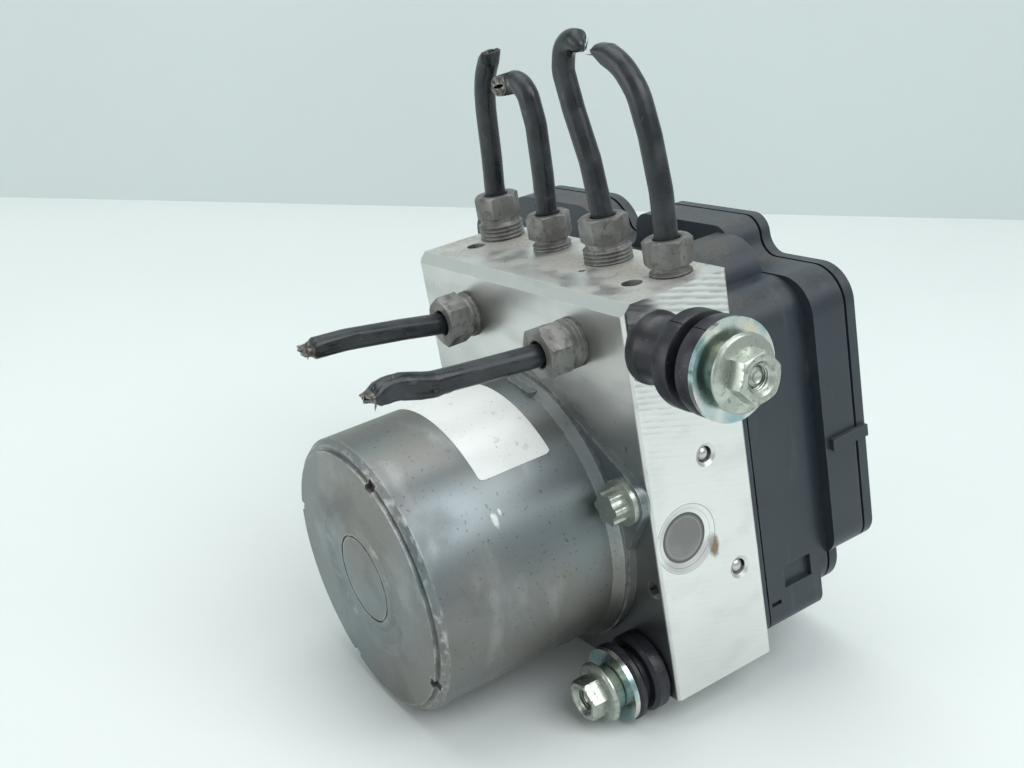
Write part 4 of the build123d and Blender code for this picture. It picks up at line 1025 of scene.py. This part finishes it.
def tearEnd(piece, setup):
    near = tornPipe["near"] * mm
    onPlane = tornPipe["onPlane"] * mm
    rimWithin = tornPipe["rimWithin"] * mm
    towards = Vector(setup["towards"]).normalized()
    cut = Vector(setup["end"]) - towards * (setup["pinch"] + tornPipe["cutBefore"])
    frameNow = seatMatrix(cut, setup["across"], towards)
    placePiece(piece, frameNow.inverted())
    spots = [vertex.co for vertex in piece.data.vertices]
    ahead = {i for i, spot in enumerate(spots) if spot.z > -0.01 * mm and spot.length < near}
    choose(piece, "FACE", lambda face: not ahead.isdisjoint(face.vertices))
    bpy.ops.mesh.bisect(plane_co=(0, 0, 0), plane_no=(0, 0, 1), clear_outer=True, threshold=exact)
    objectMode()
    # the cut may fall in a bend, so its own centre is taken
    cutPoints = [v.co for v in piece.data.vertices if abs(v.co.z) < onPlane and v.co.length < near]
    middle = sum(cutPoints, Vector()) / len(cutPoints)
    shift = Matrix.Translation((middle.x, middle.y, 0))
    placePiece(piece, shift.inverted())
    frameNow = frameNow @ shift

    def onRim(*ends):
        return all(abs(end.z) < onPlane and end.length < rimWithin for end in ends)

    wide = thin = tornPipe["radius"]
    for advance, halfWide, halfThin, turn in setup["rings"]:
        ahead = (0, 0, advance * mm)
        choose(piece, "EDGE", onRim)
        bpy.ops.mesh.extrude_edges_move(TRANSFORM_OT_translate={"value": ahead})
        bpy.ops.transform.resize(value=(halfWide / wide, halfThin / thin, 1), center_override=ahead)
        wide, thin = halfWide, halfThin
        if turn:
            bpy.ops.transform.rotate(value=-math.radians(turn), orient_axis="Y", center_override=ahead)
        step = Matrix.Translation(ahead) @ Matrix.Rotation(math.radians(turn), 4, "Y")
        placePiece(piece, step.inverted())
        frameNow = frameNow @ step
    # the bore's own edge closes to a slit
    boreWithin = tornPipe["boreShare"] * mm
    choose(
        piece, "VERT", lambda co: abs(co.z) < onPlane and math.hypot(co.x / wide, co.y / thin) < boreWithin
    )
    bpy.ops.transform.resize(value=(1, setup["slit"], 1), center_override=(0, 0, 0))
    objectMode()
    # teeth round the rim, drawn between random heights
    count = tornPipe["bins"]
    bins = [random.uniform(*tornPipe["toothRange"]) for _ in range(count)]
    pulls = {}
    for vertex in piece.data.vertices:
        if onRim(vertex.co):
            turn = math.atan2(vertex.co.y / thin, vertex.co.x / wide) / math.tau * count
            whole = math.floor(turn)
            share = turn - whole
            tooth = bins[whole % count] * (1 - share) + bins[(whole + 1) % count] * share
            pulls[vertex.index] = tooth * setup["teeth"] * mm + setup["slant"] * vertex.co.y
    choose(piece, "EDGE", onRim)
    bpy.ops.mesh.bridge_edge_loops()
    for index, pull in pulls.items():
        objectMode()
        target = piece.data.vertices[index].co.copy()
        choose(piece, "VERT", lambda co: (co - target).length < 0.001 * mm)
        bpy.ops.transform.translate(value=(0, 0, pull))
    objectMode()
    piece.data.materials.append(pipeCoat)
    piece.data.materials.append(tornSteel)
    if "bare" in setup:
        for face in piece.data.polygons:
            inside = face.normal.dot(Vector((face.center.x, face.center.y, 0))) < 0
            depth = max(setup["bare"], tornPipe["bareInside"]) if inside else setup["bare"]
            if face.center.length < tornPipe["bareWithin"] * mm and face.center.z > -depth * mm:
                face.material_index = 1
    placePiece(piece, frameNow)


def makeSliver(name, base, direction, length, thick, bend):
    # a cone cut into sections, each leaning a little further than the one before
    sections, tip, dip = 9, 0.12, 0.25
    pick()
    bpy.ops.mesh.primitive_cone_add(
        vertices=8, radius1=thick * mm, radius2=thick * tip * mm, depth=length * mm,
        location=(0, 0, length / 2 * mm),
    )
    sliver = activePiece(name)
    bpy.ops.object.transform_apply(location=True)
    for i in range(1, sections):
        editAll()
        bpy.ops.mesh.bisect(plane_co=(0, 0, length * i / sections * mm), plane_no=(0, 0, 1))
        objectMode()
    for i in range(1, sections + 1):
        choose(sliver, "VERT", lambda co: co.z > length * (i - 0.5) / sections * mm)
        lean = math.tan(math.radians(bend / sections)) * length / sections * i * mm
        bpy.ops.transform.translate(value=(lean, 0, -lean * dip))
        objectMode()
    sliver.data.materials.append(pipeCoat)
    sliver.data.materials.append(tornSteel)
    for face in sliver.data.polygons:
        face.material_index = 1
    placePiece(sliver, seatMatrix(base, (0.3, 0.2, 1.0), direction))
    return sliver


for name, setup in tornEnds.items():
    pipe = copyNode(name, name.replace("pipe_", "tornPipe_"))
    fold = pipeFolds.get(name, {})
    if fold:
        foldPipe(pipe, fold)
    if "squeezed" in fold:
        squeezePipe(pipe, fold)
    tearEnd(pipe, setup)
    curls = [makeSliver(f"{name}Sliver{i}", *values) for i, values in enumerate(slivers.get(name, ()))]
    pick(pipe, *curls)
    if curls:
        bpy.ops.object.join()
    bpy.ops.object.shade_smooth_by_angle(angle=math.radians(tornPipe["smoothAngle"]))
    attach(pipe, "unit")
    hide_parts(name)
print("pipes torn")

# springs under the accumulator pistons, copied from the frame; how far they would shorten as the pistons
# travel is worked out but not applied
accumulatorCoil = {"anchor": (0, 0, 0.0032), "length": 17.59, "travel": 8.0}
for side in ("left", "right"):
    node = f"accumulator_spring_{side}"
    coil = copyNode(node, f"accumulatorCoil_{side}")
    bpy.ops.object.shade_smooth_by_angle(angle=math.radians(tornPipe["smoothAngle"]))
    coil.data.materials.append(brightSteel)
    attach(coil, "unit")
    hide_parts(node)
    share = 1 - accumulatorCoil["travel"] / accumulatorCoil["length"]
    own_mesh(coil)
print("accumulator springs made")

# floor, wall, lamps and camera
right = cameraSetup["right"].normalized()
down = (cameraSetup["down"] - right * right.dot(cameraSetup["down"])).normalized()
ahead = right.cross(down).normalized()
eye = cameraSetup["place"]
first, second, third = floorSetup["restsOn"]
floorUp = (third - first).cross(second - first).normalized()


def onFloor(x, y):
    # where the ray through a pixel of the view meets the floor
    x, y = x - cameraSetup["width"] / 2, y - cameraSetup["height"] / 2
    ray = (ahead * cameraSetup["focalPixels"] + right * x + down * y).normalized()
    return eye + ray * ((first - eye).dot(floorUp) / ray.dot(floorUp))


lineLeft, lineRight = (onFloor(*p) for p in floorSetup["wallLine"])
along = (lineRight - lineLeft).normalized()
toViewer = floorUp.cross(along).normalized()
if toViewer.dot(eye - lineLeft) < 0:
    toViewer = -toViewer
middle = (lineLeft + lineRight) / 2


def stagePlane(name, direction, low, high, color, roughness):
    mesh = bpy.data.meshes.new(name)
    reach = along * floorSetup["halfWidth"]
    corners = ((-1, low), (1, low), (1, high), (-1, high))
    mesh.from_pydata([middle + reach * a + direction * b for a, b in corners], [], [(0, 1, 2, 3)])
    plane = addObject(name, mesh)
    material, place = newMaterial(name + "Paint", color, roughness)
    color = cover(color, tuple(c * 0.96 for c in color), 1, place, 3.0, 0.3, 0.7)
    mesh.materials.append(dress(material, color, roughness))


stagePlane("floor", toViewer, 0, floorSetup["depth"], floorSetup["color"], 0.6)
stagePlane("wall", floorUp, -0.01, floorSetup["wallHeight"], floorSetup["wallColor"], 0.8)

skySetup = {"Color": (0.80, 0.85, 0.86, 1), "Strength": 0.66}
world = bpy.data.worlds.new("studio")
bpy.context.scene.world = world
world.use_nodes = True
for label, value in skySetup.items():
    world.node_tree.nodes["Background"].inputs[label].default_value = value

# each lamp: place, target, size, power and colour
lamps = {
    "windowLamp": ((0.75, 0.25, 0.75), (0, 0, 0.05), (0.9, 0.7), 6.0, (0.95, 0.98, 1.0)),
    "overheadLamp": ((-0.1, 0.1, 1.1), (0, 0, 0.05), (0.8, 0.8), 4.4, (1, 1, 1)),
    "frontLamp": ((-0.35, -0.95, 0.45), (0, 0, 0.06), (0.8, 0.6), 3.2, (0.97, 1.0, 1.0)),
}
for name, (place, target, size, power, color) in lamps.items():
    lampData = bpy.data.lights.new(name, "AREA")
    lampData.shape = "RECTANGLE"
    lampData.size, lampData.size_y = size
    lampData.energy = power
    lampData.color = color
    lamp = addObject(name, lampData)
    lamp.location = place
    lamp.rotation_euler = (Vector(target) - Vector(place)).to_track_quat("-Z", "Y").to_euler()

cameraData = bpy.data.cameras.new("camera")
cameraData.sensor_fit = "HORIZONTAL"
cameraData.sensor_width = cameraSetup["sensor"]
cameraData.lens = cameraSetup["focalPixels"] / cameraSetup["width"] * cameraSetup["sensor"]
cameraData.clip_start = 0.01
cameraData.clip_end = 20
camera = addObject("camera", cameraData)
camera.matrix_world = Matrix.Translation(eye) @ Matrix((right, -down, -ahead)).transposed().to_4x4()
bpy.context.scene.camera = camera
bpy.context.scene.view_settings.view_transform = "Standard"
print("stage, lamps and camera set")
